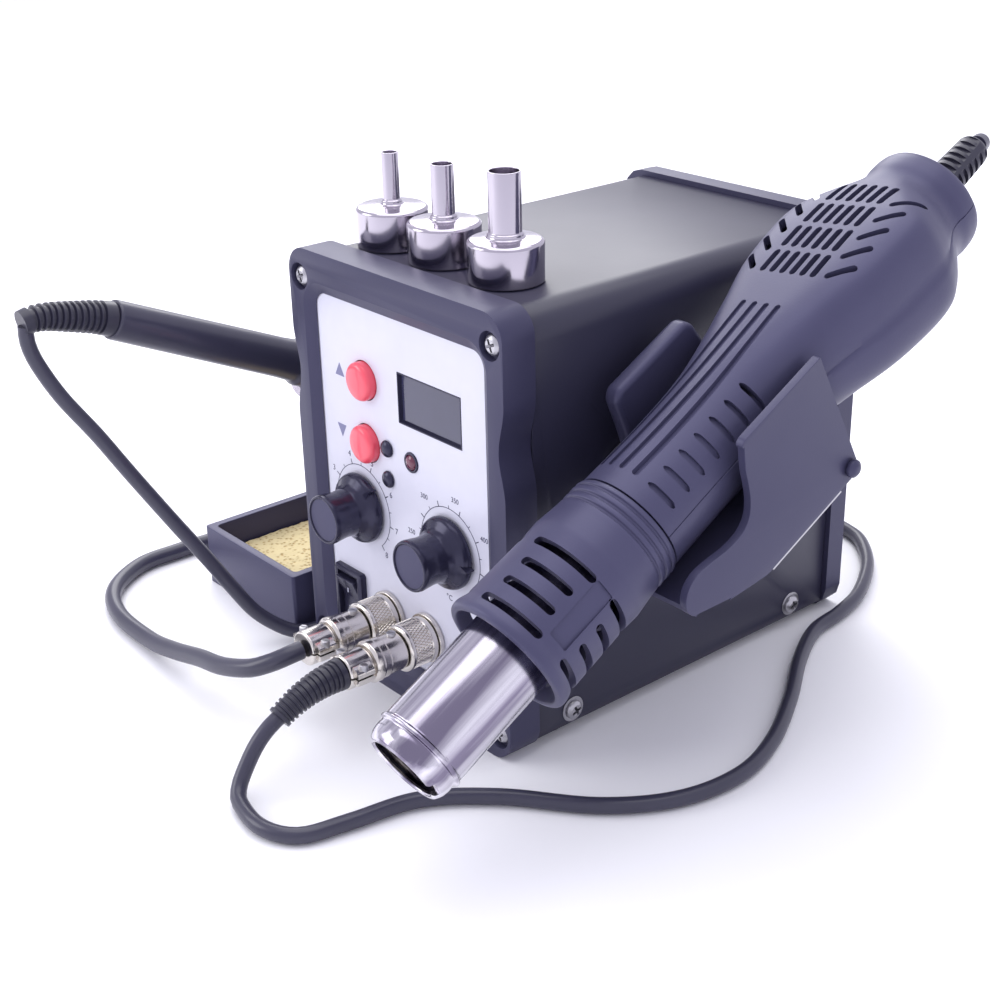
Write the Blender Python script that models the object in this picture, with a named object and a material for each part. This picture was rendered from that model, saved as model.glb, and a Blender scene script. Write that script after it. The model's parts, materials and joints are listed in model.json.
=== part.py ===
"""Hot air rework station: a bench station, its hot air handle in a side cradle, a soldering iron
in its stand, three nozzles on posts and the two cords. Blender 4.5, metres, +Z up.

The origin is the middle of the front bezel's underside, +X is to the right seen from the front,
and +Y runs from the front to the back. Lengths along Y are first given from the bezel's front face.
"""
import math

import bmesh
import bpy
from mathutils import Matrix, Vector

mm = 0.001
full_turn = 2 * math.pi

# Clearances
touch_gap = 0.3 * mm          # between pieces that rest on each other
running_gap = 0.4 * mm        # round a turning or sliding piece

# Station
station_width = 100 * mm
station_height = 138 * mm
station_depth = 150 * mm
frame_corner = 8 * mm
bezel_depth = 11.5 * mm
front_y = -bezel_depth / 2
rear_frame_depth = 7.5 * mm
rear_y = front_y + station_depth
cover_inset = 1.8 * mm        # the cover sits this far inside the frames
cover_wall = 1.6 * mm
cover_corner = 9 * mm
cover_foot_height = 3.4 * mm  # the cover's lower edge above the bench
cover_half_width = station_width / 2 - cover_inset
cover_top = station_height - cover_inset
cover_front = front_y + bezel_depth + touch_gap
cover_rear = rear_y - rear_frame_depth - touch_gap
base_wall = 1.6 * mm
base_height = 12 * mm

# Scallop in each side of the bezel
scallop_depth = 2.4 * mm
scallop_length = 29 * mm
scallop_low = station_height - 54 * mm
scallop_high = scallop_low + scallop_length

# Panel window
frame_side = 10.4 * mm        # from the side of a frame to its window
frame_foot = 13 * mm
frame_head = 13 * mm
window_half_width = station_width / 2 - frame_side
window_low = frame_foot
window_high = station_height - frame_head
window_corner = 5 * mm
window_slope = 3.6 * mm
panel_setback = 2.2 * mm
panel_wall = 1.6 * mm
panel_margin = 3 * mm         # how far the panel reaches behind the bezel
panel_y = front_y + panel_setback
rear_panel_setback = 2 * mm

# Screws
screw_recess_radius = 4.2 * mm
screw_recess_depth = 2.4 * mm
rear_recess_depth = 1.6 * mm
screw_hole_radius = 1.8 * mm
screw_head_radius = 3 * mm
screw_head_height = 1.9 * mm
screw_shank_radius = 1.4 * mm
frame_screw_inset = 5.4 * mm
frame_screw_x = station_width / 2 - frame_screw_inset
frame_screw_low = 8 * mm
frame_screw_high = station_height - 9.2 * mm
front_screw_spare = 3 * mm    # how much shorter than the bezel's depth a screw's shank is
side_screw_z = 8 * mm
side_screw_front = front_y + 26.3 * mm
side_screw_rear = rear_y - 24 * mm

# Back of the station
inlet_x = -window_half_width + 21.6 * mm
inlet_z = window_low + 19 * mm
inlet_width = 27.6 * mm
inlet_height = 20 * mm
inlet_depth = 18 * mm
inlet_flange = 2.2 * mm
inlet_floor = 2.5 * mm
inlet_cavity_width = 23 * mm
inlet_cavity_height = 15 * mm
inlet_cavity_chamfer = 4.5 * mm
inlet_pin_pitch = 7 * mm
inlet_pin_width = 2 * mm
inlet_pin_height = 4 * mm
inlet_pin_rise = 4 * mm
inlet_pin_setback = 3 * mm
vent_length = 30 * mm
vent_width = 2.4 * mm
vent_pitch = 6 * mm
vent_rows = 5
vent_column_x = 18 * mm
vent_first_z = window_high - 41 * mm

# Panel features. Heights are shares of the window's height, so the rows keep apart
panel_height = window_high - window_low
button_x = -0.4369 * window_half_width
up_button_z = window_low + 0.7946 * panel_height
down_button_z = window_low + 0.6143 * panel_height
button_radius = 6 * mm
button_height = 3.6 * mm
button_crown = 0.9 * mm
button_foot_radius = 2.2 * mm
button_length = 8.4 * mm
button_travel = 1.5 * mm
display_x = 0.3535 * window_half_width
display_z = window_low + 0.7875 * panel_height
display_width = 29.5 * mm
display_height = 16 * mm
display_glass = 3 * mm
display_rim = 1 * mm
plug_dot_x = button_x + 10.3 * mm
plug_dot_high_z = down_button_z + 1.3 * mm
plug_dot_low_z = window_low + 0.5375 * panel_height
plug_dot_radius = 2.7 * mm
plug_dot_height = 1.6 * mm
plug_dot_stem = 1.8 * mm
plug_dot_length = 4 * mm
light_x = plug_dot_x + 11.6 * mm
light_z = down_button_z + 0.4 * mm
light_radius = 2.4 * mm
light_height = 1.3 * mm
light_rim = 0.5 * mm
light_length = 4 * mm
knob_x = 0.5429 * window_half_width
knob_z = window_low + 0.4134 * panel_height
knob_lift = 0.8 * mm
knob_skirt_radius = 11.3 * mm
knob_barrel_radius = 7.6 * mm
knob_height = 15.5 * mm
knob_length = 6 * mm
knob_pointer_reach = 12.6 * mm
knob_pointer_width = 3 * mm
air_knob_angle = math.radians(45)
temp_knob_angle = math.radians(96)
shaft_radius = 3 * mm
pot_radius = 8.2 * mm
pot_collar_radius = 4.8 * mm
pot_collar_length = 2 * mm
pot_cavity = 6.6 * mm
pot_back_radius = 2 * mm
switch_x = -window_half_width + 9.6 * mm
switch_z = window_low + 11.5 * mm
switch_width = 15 * mm
switch_height = 21 * mm
switch_flange = 2.2 * mm
switch_body_width = 12.6 * mm
switch_body_height = 18.6 * mm
switch_depth = 15 * mm
switch_well_depth = 9 * mm
rocker_width = 9.6 * mm
rocker_height = 15.6 * mm
rocker_rise = 3 * mm
rocker_dip = 1.3 * mm
rocker_depth = 5 * mm
rocker_foot = 2.6 * mm
rocker_rest = math.radians(9)
rocker_axle = 0.6 * mm
socket_z = window_low + 13 * mm
socket_pitch = 19.5 * mm
air_socket_x = switch_x + 20 * mm
iron_socket_x = air_socket_x + socket_pitch
socket_flange = 1.4 * mm
socket_reach = 8 * mm
socket_depth = 12 * mm
nut_depth = 2.4 * mm
nut_margin = 1 * mm
thread_radius = 5.7 * mm
ring_radius = 7.3 * mm
ring_length = 10 * mm
ring_lip = 1.4 * mm
ring_chamfer = 0.6 * mm
neck_radius = 4.6 * mm
plug_radius = 6 * mm
plug_body_length = 7 * mm
plug_collar = 0.7 * mm
plug_clamp_radius = 5.2 * mm
plug_reach = 33 * mm          # from the panel to the end of the plug's cord clamp
plug_ear_width = 3.2 * mm
plug_ear_height = 5.2 * mm
plug_ear_length = 6 * mm
cord_bore = 3.3 * mm
cord_bore_depth = 2 * mm

# Control board and transformer
board_setback = 16 * mm
board_y = panel_y + board_setback
board_wall = 1.6 * mm
board_margin = 1.6 * mm       # inside the window at the sides
board_low = knob_z - 17.3 * mm
board_high = window_high - 4 * mm
board_switch = 6 * mm
transformer_y = rear_y - 58 * mm
transformer_base_width = 60 * mm
transformer_base_depth = 32 * mm
transformer_base_wall = 2 * mm
core_width = 48 * mm
core_depth = 28 * mm
core_height = 42 * mm
core_leg = 7.5 * mm
core_window = 9 * mm
core_window_height = 26 * mm
winding_depth = 44 * mm

# Nozzles, spread along the cover's top
nozzle_y = front_y + 26 * mm
nozzle_small_x = -0.6846 * cover_half_width
nozzle_medium_x = -0.1245 * cover_half_width
nozzle_large_x = 0.4461 * cover_half_width
nozzle_skirt_radius = 11 * mm
nozzle_skirt_height = 13 * mm
nozzle_shoulder = 2 * mm
nozzle_tube_height = 20 * mm
nozzle_wall = 0.7 * mm
nozzle_collar = 1.6 * mm
small_tube_radius = 2.6 * mm
medium_tube_radius = 3.4 * mm
large_tube_radius = 4.7 * mm
post_radius = 6 * mm
post_height = 9 * mm
post_pin = 2 * mm
post_pin_depth = 5 * mm
post_foot = 2.4 * mm

# Hot air handle, lengths along its axis from the lip of its tube
handle_x = cover_half_width + 33.8 * mm
handle_tip_y = front_y - 62.3 * mm
handle_tip_z = 42.7 * mm
handle_tilt = math.radians(28.6)
tube_radius = 12.5 * mm
tube_wall = 0.8 * mm
tube_end = 82 * mm
tube_neck_radius = 10.5 * mm
tube_lip_radius = 11.3 * mm
tube_bead_radius = 12.1 * mm
guard_start = 38.5 * mm
guard_end = 88 * mm
guard_wall = 2.2 * mm
guard_groups = 4
guard_slot_width = 2.6 * mm
guard_first_group = math.radians(60)
# The rows of the guard's slots: place along the axis, and half of the reach round it
guard_slot_rows = ((44.3 * mm, math.radians(35)), (51.0 * mm, math.radians(29)),
                   (57.8 * mm, math.radians(29)), (64.6 * mm, math.radians(36)))
shell_wall = 2 * mm
slot_width = 1.8 * mm
intake_rows = 4
intake_columns = 6
intake_first_row = 177.5 * mm
intake_row_pitch = 10.3 * mm
intake_pitch = 3.6 * mm
intake_length = 8.6 * mm
side_vents = 5
side_vent_pitch = 7.5 * mm
side_vent_x = 16.5 * mm
side_vent_length = 10 * mm
side_vent_slant = math.radians(60)
grip_grooves = 4
grip_groove_pitch = 4.4 * mm
grip_groove_depth = 0.9 * mm
grip_groove_start = 94 * mm
grip_groove_end = 158 * mm
side_groove_count = 6
side_groove_first = 96 * mm
side_groove_pitch = 6.2 * mm
side_groove_floor = 15.1 * mm
handle_screw_seat = -16.9 * mm
handle_screw_recess = 3.2 * mm
# The sections of the handle's casing: along the axis, half width, half height, squareness
handle_stations = [
    (88.4 * mm, 16.4 * mm, 16.4 * mm, 2.0),
    (110 * mm, 15.9 * mm, 15.9 * mm, 2.05),
    (130 * mm, 16.2 * mm, 16.2 * mm, 2.15),
    (145 * mm, 18.2 * mm, 17.0 * mm, 2.4),
    (159 * mm, 21.0 * mm, 18.0 * mm, 2.7),
    (174 * mm, 25.0 * mm, 19.0 * mm, 3.0),
    (189 * mm, 27.0 * mm, 19.5 * mm, 3.2),
    (199 * mm, 26.0 * mm, 19.3 * mm, 3.1),
    (206 * mm, 23.6 * mm, 18.7 * mm, 2.8),
    (212 * mm, 20.4 * mm, 17.9 * mm, 2.4),
    (217 * mm, 17.8 * mm, 17.2 * mm, 2.1),
    (221 * mm, 17.0 * mm, 17.0 * mm, 2.0),
    (225 * mm, 17.4 * mm, 17.4 * mm, 2.0),
    (228.59 * mm, 17.25 * mm, 17.25 * mm, 2.0),
    (230.4 * mm, 16.6 * mm, 16.6 * mm, 2.0),
    (232.6 * mm, 12.2 * mm, 12.2 * mm, 2.0),
]
shell_end = handle_stations[-1][0]
boot_hole = 6.2 * mm
boot_hole_from = shell_end - 4 * mm
boot_flange_radius = 12 * mm
boot_flange = 2.4 * mm
boot_radius = 5.5 * mm
boot_rib_depth = 1.2 * mm
boot_ribs = 5
boot_end = 250 * mm
blower_middle = 188 * mm
blower_low = -8 * mm
blower_radius = 21 * mm
blower_height = 15 * mm
blower_wall = 1.4 * mm
blower_peg_ring = 13 * mm
blower_peg_radius = 2 * mm
blower_peg_foot = -16.4 * mm
axle_radius = 1.5 * mm
wheel_radius = 17 * mm
wheel_height = 9 * mm
wheel_blades = 9

# Cradle, across and along the handle's axis
cradle_half_gap = 20.6 * mm
cradle_outer_wall = 2.4 * mm
cradle_ear = 6 * mm
cradle_rear = 149.5 * mm
cradle_top = 13.5 * mm
ear_top = 16 * mm
cradle_floor = -17.9 * mm
saddle_wall = 2.6 * mm
skirt_low = -29.5 * mm
stud_radius = 2.2 * mm
bracket_wall = 1.5 * mm
bracket_front = 110 * mm
bracket_rear = 141 * mm
bracket_top = -10 * mm
cradle_screw_up = -23 * mm
cradle_screw_front = 116 * mm
cradle_screw_rear = 136 * mm

# Iron stand
stand_right = -station_width / 2 - 8.5 * mm
stand_width = 56 * mm
stand_left = stand_right - stand_width
stand_front = front_y - 2.5 * mm
stand_depth = 128 * mm
stand_height = 22 * mm
stand_corner = 5 * mm
stand_wall = 3.5 * mm
stand_floor = 3 * mm
tray_depth = 60 * mm
sponge_height = 11 * mm
sponge_fit = 0.6 * mm

# Soldering iron, lengths along its axis from the mouth of its holder
iron_x = stand_right - 26.5 * mm
holder_mouth_y = front_y + 28 * mm
holder_mouth_z = 83.2 * mm
iron_tilt = math.radians(24.4)
iron_handle_back = 74.6 * mm
iron_handle_radius = 6.8 * mm
iron_handle_tail_radius = 6 * mm
iron_handle_front = 20 * mm
iron_collar_radius = 8.3 * mm
barrel_radius = 3.2 * mm
barrel_nut_radius = 6.3 * mm
barrel_nut_length = 7 * mm
barrel_end = 70 * mm
tip_radius = 2.4 * mm
tip_end = 88 * mm
holder_bore = 9.2 * mm
holder_wall = 1.4 * mm
holder_rim = 2.6 * mm
holder_length = 66 * mm
holder_leg_y = stand_front + 86 * mm
holder_foot_half_width = 9 * mm
holder_plate = 2 * mm

# Cords
hot_air_cord_diameter = 5.8 * mm
iron_cord_diameter = 4.8 * mm
cord_grip = iron_cord_diameter / 2 + touch_gap
plug_boot_radius = 5 * mm
iron_boot_radius = 5.3 * mm
boot_groove = 0.8 * mm
bend_weight = 18 * mm         # how many more points a cord gets where it bends


# Materials

def linear(value):
    """One channel of an sRGB colour, 0 to 1, as linear light."""
    if value <= 0.04045:
        return value / 12.92
    return ((value + 0.055) / 1.055) ** 2.4


def material(name, colour, roughness, metallic=0.0):
    """A Principled material from a colour written as six hex digits."""
    made = bpy.data.materials.new(name)
    made.use_nodes = True
    shader = made.node_tree.nodes["Principled BSDF"]
    channels = [linear(int(colour[i:i + 2], 16) / 255) for i in (0, 2, 4)]
    shader.inputs["Base Color"].default_value = (*channels, 1.0)
    shader.inputs["Roughness"].default_value = roughness
    shader.inputs["Metallic"].default_value = metallic
    made.diffuse_color = (*channels, 1.0)
    return made


def make_materials():
    """The finishes of the station and what lies around it."""
    return {
        "black_abs": material("black_abs", "2b2a33", 0.45),
        "textured_steel": material("textured_steel", "26262f", 0.5),
        "soft_black": material("soft_black", "302f3a", 0.55),
        "black_rubber": material("black_rubber", "1d1c24", 0.7),
        "white_panel": material("white_panel", "e9e9f2", 0.35),
        "red_button": material("red_button", "e8323f", 0.35),
        "dark_glass": material("dark_glass", "14141c", 0.08),
        "red_lens": material("red_lens", "7a1420", 0.2),
        "gloss_black": material("gloss_black", "1a1a22", 0.25),
        "nickel": material("nickel", "d8d4cc", 0.22, 1.0),
        "steel": material("steel", "c9c6c6", 0.28, 1.0),
        "zinc": material("zinc", "b4b2ae", 0.4, 1.0),
        "brass": material("brass", "c8a24a", 0.35, 1.0),
        "ceramic": material("ceramic", "e6dfd0", 0.7),
        "circuit_green": material("circuit_green", "1f5a36", 0.5),
        "white_abs": material("white_abs", "e4e4ea", 0.45),
        "sponge": material("sponge", "d9c38c", 0.95),
        "cord_black": material("cord_black", "232229", 0.55),
    }


# Mesh helpers

def make_object(name, shape, finish, frame=None, place=(0, 0, 0), turn=(0, 0, 0)):
    """Turn a bmesh into an object that is smooth on its round faces."""
    bmesh.ops.recalc_face_normals(shape, faces=shape.faces)
    mesh = bpy.data.meshes.new(name)
    shape.to_mesh(mesh)
    shape.free()
    mesh.materials.append(finish)
    mesh.shade_smooth()
    mesh.set_sharp_from_angle(angle=math.radians(35))
    made = bpy.data.objects.new(name, mesh)
    bpy.context.scene.collection.objects.link(made)
    made.location = place
    made.rotation_euler = turn
    made.parent = frame
    return made


def make_frame(name, place, turn=(0, 0, 0), frame=None):
    """An empty that carries the pieces of one assembly."""
    made = bpy.data.objects.new(name, None)
    bpy.context.scene.collection.objects.link(made)
    made.location = place
    made.rotation_euler = turn
    made.parent = frame
    return made


def bridge(shape, rings, loop=False):
    """Join rings of vertices, in order, with quads. A ring of one vertex is a point."""
    pairs = list(zip(rings, rings[1:]))
    if loop:
        pairs.append((rings[-1], rings[0]))
    for first, second in pairs:
        count = max(len(first), len(second))
        for i in range(count):
            j = (i + 1) % count
            if len(first) == 1:
                shape.faces.new((first[0], second[j], second[i]))
            elif len(second) == 1:
                shape.faces.new((first[i], first[j], second[0]))
            else:
                shape.faces.new((first[i], first[j], second[j], second[i]))


def turned(shape, outline, sides, along="Z", place=Matrix.Identity(4)):
    """Revolve (radius, height) points. Ends at radius 0 make a solid, any others a closed ring."""
    to_axis = {
        "Z": Matrix.Identity(4),
        "Y": Matrix.Rotation(-math.pi / 2, 4, "X"),
        "X": Matrix.Rotation(math.pi / 2, 4, "Y"),
    }[along]
    rings = []
    for radius, height in outline:
        if radius == 0:
            rings.append([shape.verts.new(place @ to_axis @ Vector((0, 0, height)))])
            continue
        ring = []
        for i in range(sides):
            angle = full_turn * (i + 0.5) / sides
            point = Vector((radius * math.cos(angle), radius * math.sin(angle), height))
            ring.append(shape.verts.new(place @ to_axis @ point))
        rings.append(ring)
    bridge(shape, rings, loop=outline[0][0] != 0)


def prism(shape, outline, low, high, along="Z", place=Matrix.Identity(4)):
    """Extrude a flat outline. Its points are (x, y) for Z, (x, z) for Y and (y, z) for X."""
    def spot(point, height):
        a, b = point
        return {"Z": (a, b, height), "Y": (a, height, b), "X": (height, a, b)}[along]
    rings = [[shape.verts.new(place @ Vector(spot(p, h))) for p in outline] for h in (low, high)]
    bridge(shape, rings)
    shape.faces.new(rings[0])
    shape.faces.new(rings[1])


def loft(shape, sections):
    """Skin closed sections of as many points each, and cap the ends."""
    rings = [[shape.verts.new(Vector(p)) for p in section] for section in sections]
    bridge(shape, rings)
    shape.faces.new(rings[0])
    shape.faces.new(rings[-1])


def block(shape, low, high, place=Matrix.Identity(4)):
    """A box between two corners."""
    outline = [(low[0], low[1]), (high[0], low[1]), (high[0], high[1]), (low[0], high[1])]
    prism(shape, outline, low[2], high[2], "Z", place)


def rounded_box_outline(left, right, low, high, corner, steps=3):
    """A rectangle with round corners, as points."""
    points = []
    centres = ((right - corner, high - corner), (left + corner, high - corner),
               (left + corner, low + corner), (right - corner, low + corner))
    for quarter, (x, z) in enumerate(centres):
        for i in range(steps + 1):
            angle = (quarter + i / steps) * math.pi / 2
            points.append((x + corner * math.cos(angle), z + corner * math.sin(angle)))
    return points


def slot_outline(middle, length, width, angle, steps=3):
    """A slot with round ends, turned by an angle, as points."""
    points = []
    straight = (length - width) / 2
    for end, start in ((1, -math.pi / 2), (-1, math.pi / 2)):
        for i in range(steps + 1):
            bend = start + math.pi * i / steps
            u = end * straight + width / 2 * math.cos(bend)
            v = width / 2 * math.sin(bend)
            x = middle[0] + u * math.cos(angle) - v * math.sin(angle)
            y = middle[1] + u * math.sin(angle) + v * math.cos(angle)
            points.append((x, y))
    return points


def smooth_path(points, spacing):
    """Points along a smooth curve through the given points, closer together where it bends."""
    knots = [Vector(p) for p in points]
    knots = [2 * knots[0] - knots[1]] + knots + [2 * knots[-1] - knots[-2]]
    fine = []
    for k in range(1, len(knots) - 2):
        before, start, end, after = knots[k - 1:k + 3]
        for i in range(24):
            t = i / 24
            bend = 2 * before - 5 * start + 4 * end - after
            twist = 3 * start - before - 3 * end + after
            fine.append(0.5 * (2 * start + (end - before) * t + bend * t * t + twist * t ** 3))
    fine.append(knots[-2])
    travelled = [0.0]
    for k, (a, b) in enumerate(zip(fine, fine[1:])):
        bend = (b - a).angle(a - fine[k - 1], 0.0) if k else 0.0
        travelled.append(travelled[-1] + (b - a).length + bend_weight * bend)
    count = max(2, round(travelled[-1] / spacing))
    even = []
    k = 0
    for i in range(count + 1):
        target = travelled[-1] * i / count
        while k < len(fine) - 2 and travelled[k + 1] < target:
            k += 1
        share = (target - travelled[k]) / (travelled[k + 1] - travelled[k])
        even.append(fine[k].lerp(fine[k + 1], min(1.0, share)))
    return even


def swept(shape, path, radii, sides, bore=0.0):
    """A round rod along a path, with its own radius at each point, and a bore if one is given."""
    def ring_at(k, radius):
        ahead = path[min(k + 1, len(path) - 1)] - path[max(k - 1, 0)]
        along = ahead.normalized()
        across = along.cross(Vector((1, 0, 0))).normalized()
        upright = across.cross(along)
        ring = []
        for i in range(sides):
            angle = full_turn * i / sides
            ring.append(shape.verts.new(path[k] + radius * (math.cos(angle) * across
                                                           + math.sin(angle) * upright)))
        return ring
    rings = [ring_at(k, radii[k]) for k in range(len(path))]
    if bore:
        rings += [ring_at(k, bore) for k in reversed(range(len(path)))]
        bridge(shape, rings, loop=True)
        return
    bridge(shape, rings)
    shape.faces.new(rings[0])
    shape.faces.new(rings[-1])


def cut(target, shape, name, frame=None, place=(0, 0, 0), operation="DIFFERENCE"):
    """Cut the bmesh's solids out of the target, or join them to it."""
    cutter = make_object(name, shape, target.data.materials[0], frame, place)
    cutter.hide_render = True
    cutter.display_type = "WIRE"
    modifier = target.modifiers.new(name, "BOOLEAN")
    modifier.operation = operation
    modifier.solver = "EXACT"
    modifier.object = cutter
    return cutter


# Front bezel and rear frame

def bezel_outline():
    """The bezel's face: round corners, and a shallow finger scallop in each side."""
    half = station_width / 2
    corners = rounded_box_outline(-half, half, 0, station_height, frame_corner)
    steps = 6

    def scallop(side, heights):
        middle = (scallop_low + scallop_high) / 2
        reach = scallop_high - scallop_low
        return [(side * (half - scallop_depth * 0.5
                         * (1 + math.cos(full_turn * (z - middle) / reach))), z) for z in heights]
    rising = [scallop_low + (scallop_high - scallop_low) * i / steps for i in range(steps + 1)]
    right = scallop(1, rising)
    left = scallop(-1, rising[::-1])
    quarter = len(corners) // 4
    return right + corners[:2 * quarter] + left + corners[2 * quarter:]


def make_bezel(finish):
    """The thick front frame. Its sloped window holds the panel, its corners the screws."""
    shape = bmesh.new()
    prism(shape, bezel_outline(), front_y, front_y + bezel_depth, "Y")
    bezel = make_object("front_bezel", shape, finish)
    window = bmesh.new()
    sections = []
    ahead = 1 * mm
    for y, spread in ((front_y - ahead, window_slope * (1 + ahead / panel_setback)),
                      (panel_y, 0)):
        outline = rounded_box_outline(-window_half_width - spread, window_half_width + spread,
                                      window_low - spread, window_high + spread,
                                      window_corner + spread)
        sections.append([(x, y, z) for x, z in outline])
    sections.append([(x, front_y + bezel_depth + 1 * mm, z) for x, y, z in sections[-1]])
    loft(window, sections)
    cut(bezel, window, "window_cutter")
    pocket = bmesh.new()
    prism(pocket, rounded_box_outline(-window_half_width - panel_margin,
                                      window_half_width + panel_margin,
                                      window_low - panel_margin, window_high + panel_margin,
                                      window_corner), panel_y, front_y + bezel_depth + 1 * mm, "Y")
    cut(bezel, pocket, "pocket_cutter")
    holes = bmesh.new()
    for x, z in frame_screw_places():
        spot = Matrix.Translation((x, 0, z))
        turned(holes, [(0, front_y - 1 * mm), (screw_recess_radius, front_y - 1 * mm),
                       (screw_recess_radius, front_y + screw_recess_depth),
                       (screw_hole_radius, front_y + screw_recess_depth),
                       (screw_hole_radius, front_y + bezel_depth + 1 * mm),
                       (0, front_y + bezel_depth + 1 * mm)], 10, "Y", spot)
    cut(bezel, holes, "bezel_screw_cutter")
    return bezel


def frame_screw_places():
    """The corners where a frame is screwed on."""
    return [(side * frame_screw_x, z) for side in (-1, 1)
            for z in (frame_screw_low, frame_screw_high)]


def screw(shape, place, length, head=screw_head_radius):
    """A pan head screw. Its head's underside lies at height 0 and its shank points down."""
    turned(shape, [(0, screw_head_height), (head * 0.62, screw_head_height),
                   (head, screw_head_height * 0.4), (head, 0), (screw_shank_radius, 0),
                   (screw_shank_radius, -length), (0, -length)], 8, "Z", place)


def make_front_screws(finish):
    """The four screws in the bezel's corners."""
    face_front = Matrix.Rotation(math.pi / 2, 4, "X")
    seat = front_y + screw_recess_depth - touch_gap
    for count, (x, z) in enumerate(frame_screw_places()):
        shape = bmesh.new()
        screw(shape, face_front, bezel_depth - front_screw_spare)
        make_object(f"front_screw_{count + 1}", shape, finish, place=(x, seat, z))


def side_screw_places():
    """The two screws along each lower edge of the cover."""
    return [side_screw_front, side_screw_rear]


def make_rear_frame(finish):
    """The frame at the back, which carries the rear panel and stands on the bench."""
    half = station_width / 2
    shape = bmesh.new()
    prism(shape, rounded_box_outline(-half, half, 0, station_height, frame_corner),
          rear_y - rear_frame_depth, rear_y, "Y")
    frame = make_object("rear_frame", shape, finish)
    opening = bmesh.new()
    prism(opening, rounded_box_outline(-window_half_width, window_half_width, window_low,
                                       window_high, window_corner),
          rear_y - rear_frame_depth - 1 * mm, rear_y + 1 * mm, "Y")
    cut(frame, opening, "rear_opening_cutter")
    pocket = bmesh.new()
    prism(pocket, rounded_box_outline(-window_half_width - panel_margin,
                                      window_half_width + panel_margin,
                                      window_low - panel_margin, window_high + panel_margin,
                                      window_corner),
          rear_y - rear_frame_depth - 1 * mm, rear_y - rear_panel_setback, "Y")
    cut(frame, pocket, "rear_pocket_cutter")
    holes = bmesh.new()
    for x, z in frame_screw_places():
        spot = Matrix.Translation((x, 0, z))
        turned(holes, [(0, rear_y - rear_frame_depth - 1 * mm),
                       (screw_hole_radius, rear_y - rear_frame_depth - 1 * mm),
                       (screw_hole_radius, rear_y - rear_recess_depth),
                       (screw_recess_radius, rear_y - rear_recess_depth),
                       (screw_recess_radius, rear_y + 1 * mm), (0, rear_y + 1 * mm)],
               8, "Y", spot)
    cut(frame, holes, "rear_screw_cutter")


def make_rear_panel(finish):
    """The back plate, with the hole for the mains inlet and two columns of cooling slots."""
    outer = rear_y - rear_panel_setback - touch_gap
    reach = panel_margin - touch_gap
    shape = bmesh.new()
    prism(shape, rounded_box_outline(-window_half_width - reach, window_half_width + reach,
                                     window_low - reach, window_high + reach,
                                     window_corner), outer - panel_wall, outer, "Y")
    panel = make_object("rear_panel", shape, finish)
    holes = bmesh.new()
    block(holes, (inlet_x - inlet_width / 2, outer - 2 * panel_wall, inlet_z - inlet_height / 2),
          (inlet_x + inlet_width / 2, outer + panel_wall, inlet_z + inlet_height / 2))
    for side in (-1, 1):
        for row in range(vent_rows):
            middle = (side * vent_column_x, vent_first_z + row * vent_pitch)
            prism(holes, slot_outline(middle, vent_length, vent_width, 0, 1),
                  outer - 2 * panel_wall, outer + panel_wall, "Y")
    cut(panel, holes, "rear_panel_cutter")


def make_mains_inlet(plastic):
    """The three pin mains inlet, pushed into the rear panel from outside."""
    outer = rear_y - rear_panel_setback
    shape = bmesh.new()
    flange = inlet_flange
    fit = touch_gap
    block(shape, (inlet_x - inlet_width / 2 + fit, outer - inlet_depth,
                  inlet_z - inlet_height / 2 + fit),
          (inlet_x + inlet_width / 2 - fit, outer + 0.5 * mm, inlet_z + inlet_height / 2 - fit))
    inlet = make_object("mains_inlet", shape, plastic)
    rim = bmesh.new()
    block(rim, (inlet_x - inlet_width / 2 - flange, outer, inlet_z - inlet_height / 2 - flange),
          (inlet_x + inlet_width / 2 + flange, outer + flange,
           inlet_z + inlet_height / 2 + flange))
    cut(inlet, rim, "inlet_rim", operation="UNION")
    cavity = bmesh.new()
    half, rise = inlet_cavity_width / 2, inlet_cavity_height / 2
    chamfer = inlet_cavity_chamfer
    prism(cavity, [(inlet_x - half, inlet_z - rise), (inlet_x + half, inlet_z - rise),
                   (inlet_x + half, inlet_z + rise - chamfer),
                   (inlet_x + half - chamfer, inlet_z + rise),
                   (inlet_x - half + chamfer, inlet_z + rise),
                   (inlet_x - half, inlet_z + rise - chamfer)],
          outer - inlet_depth + inlet_floor, outer + 2 * flange, "Y")
    cut(inlet, cavity, "inlet_cavity")
    pins = bmesh.new()
    lower = -0.65 * inlet_pin_rise
    for x, z in ((-inlet_pin_pitch, lower), (0, lower + inlet_pin_rise), (inlet_pin_pitch, lower)):
        block(pins, (inlet_x + x - inlet_pin_width / 2, outer - inlet_depth + inlet_floor / 2,
                     inlet_z + z - inlet_pin_height / 2),
              (inlet_x + x + inlet_pin_width / 2, outer - inlet_pin_setback,
               inlet_z + z + inlet_pin_height / 2))
    cut(inlet, pins, "inlet_pins", operation="UNION")


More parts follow.
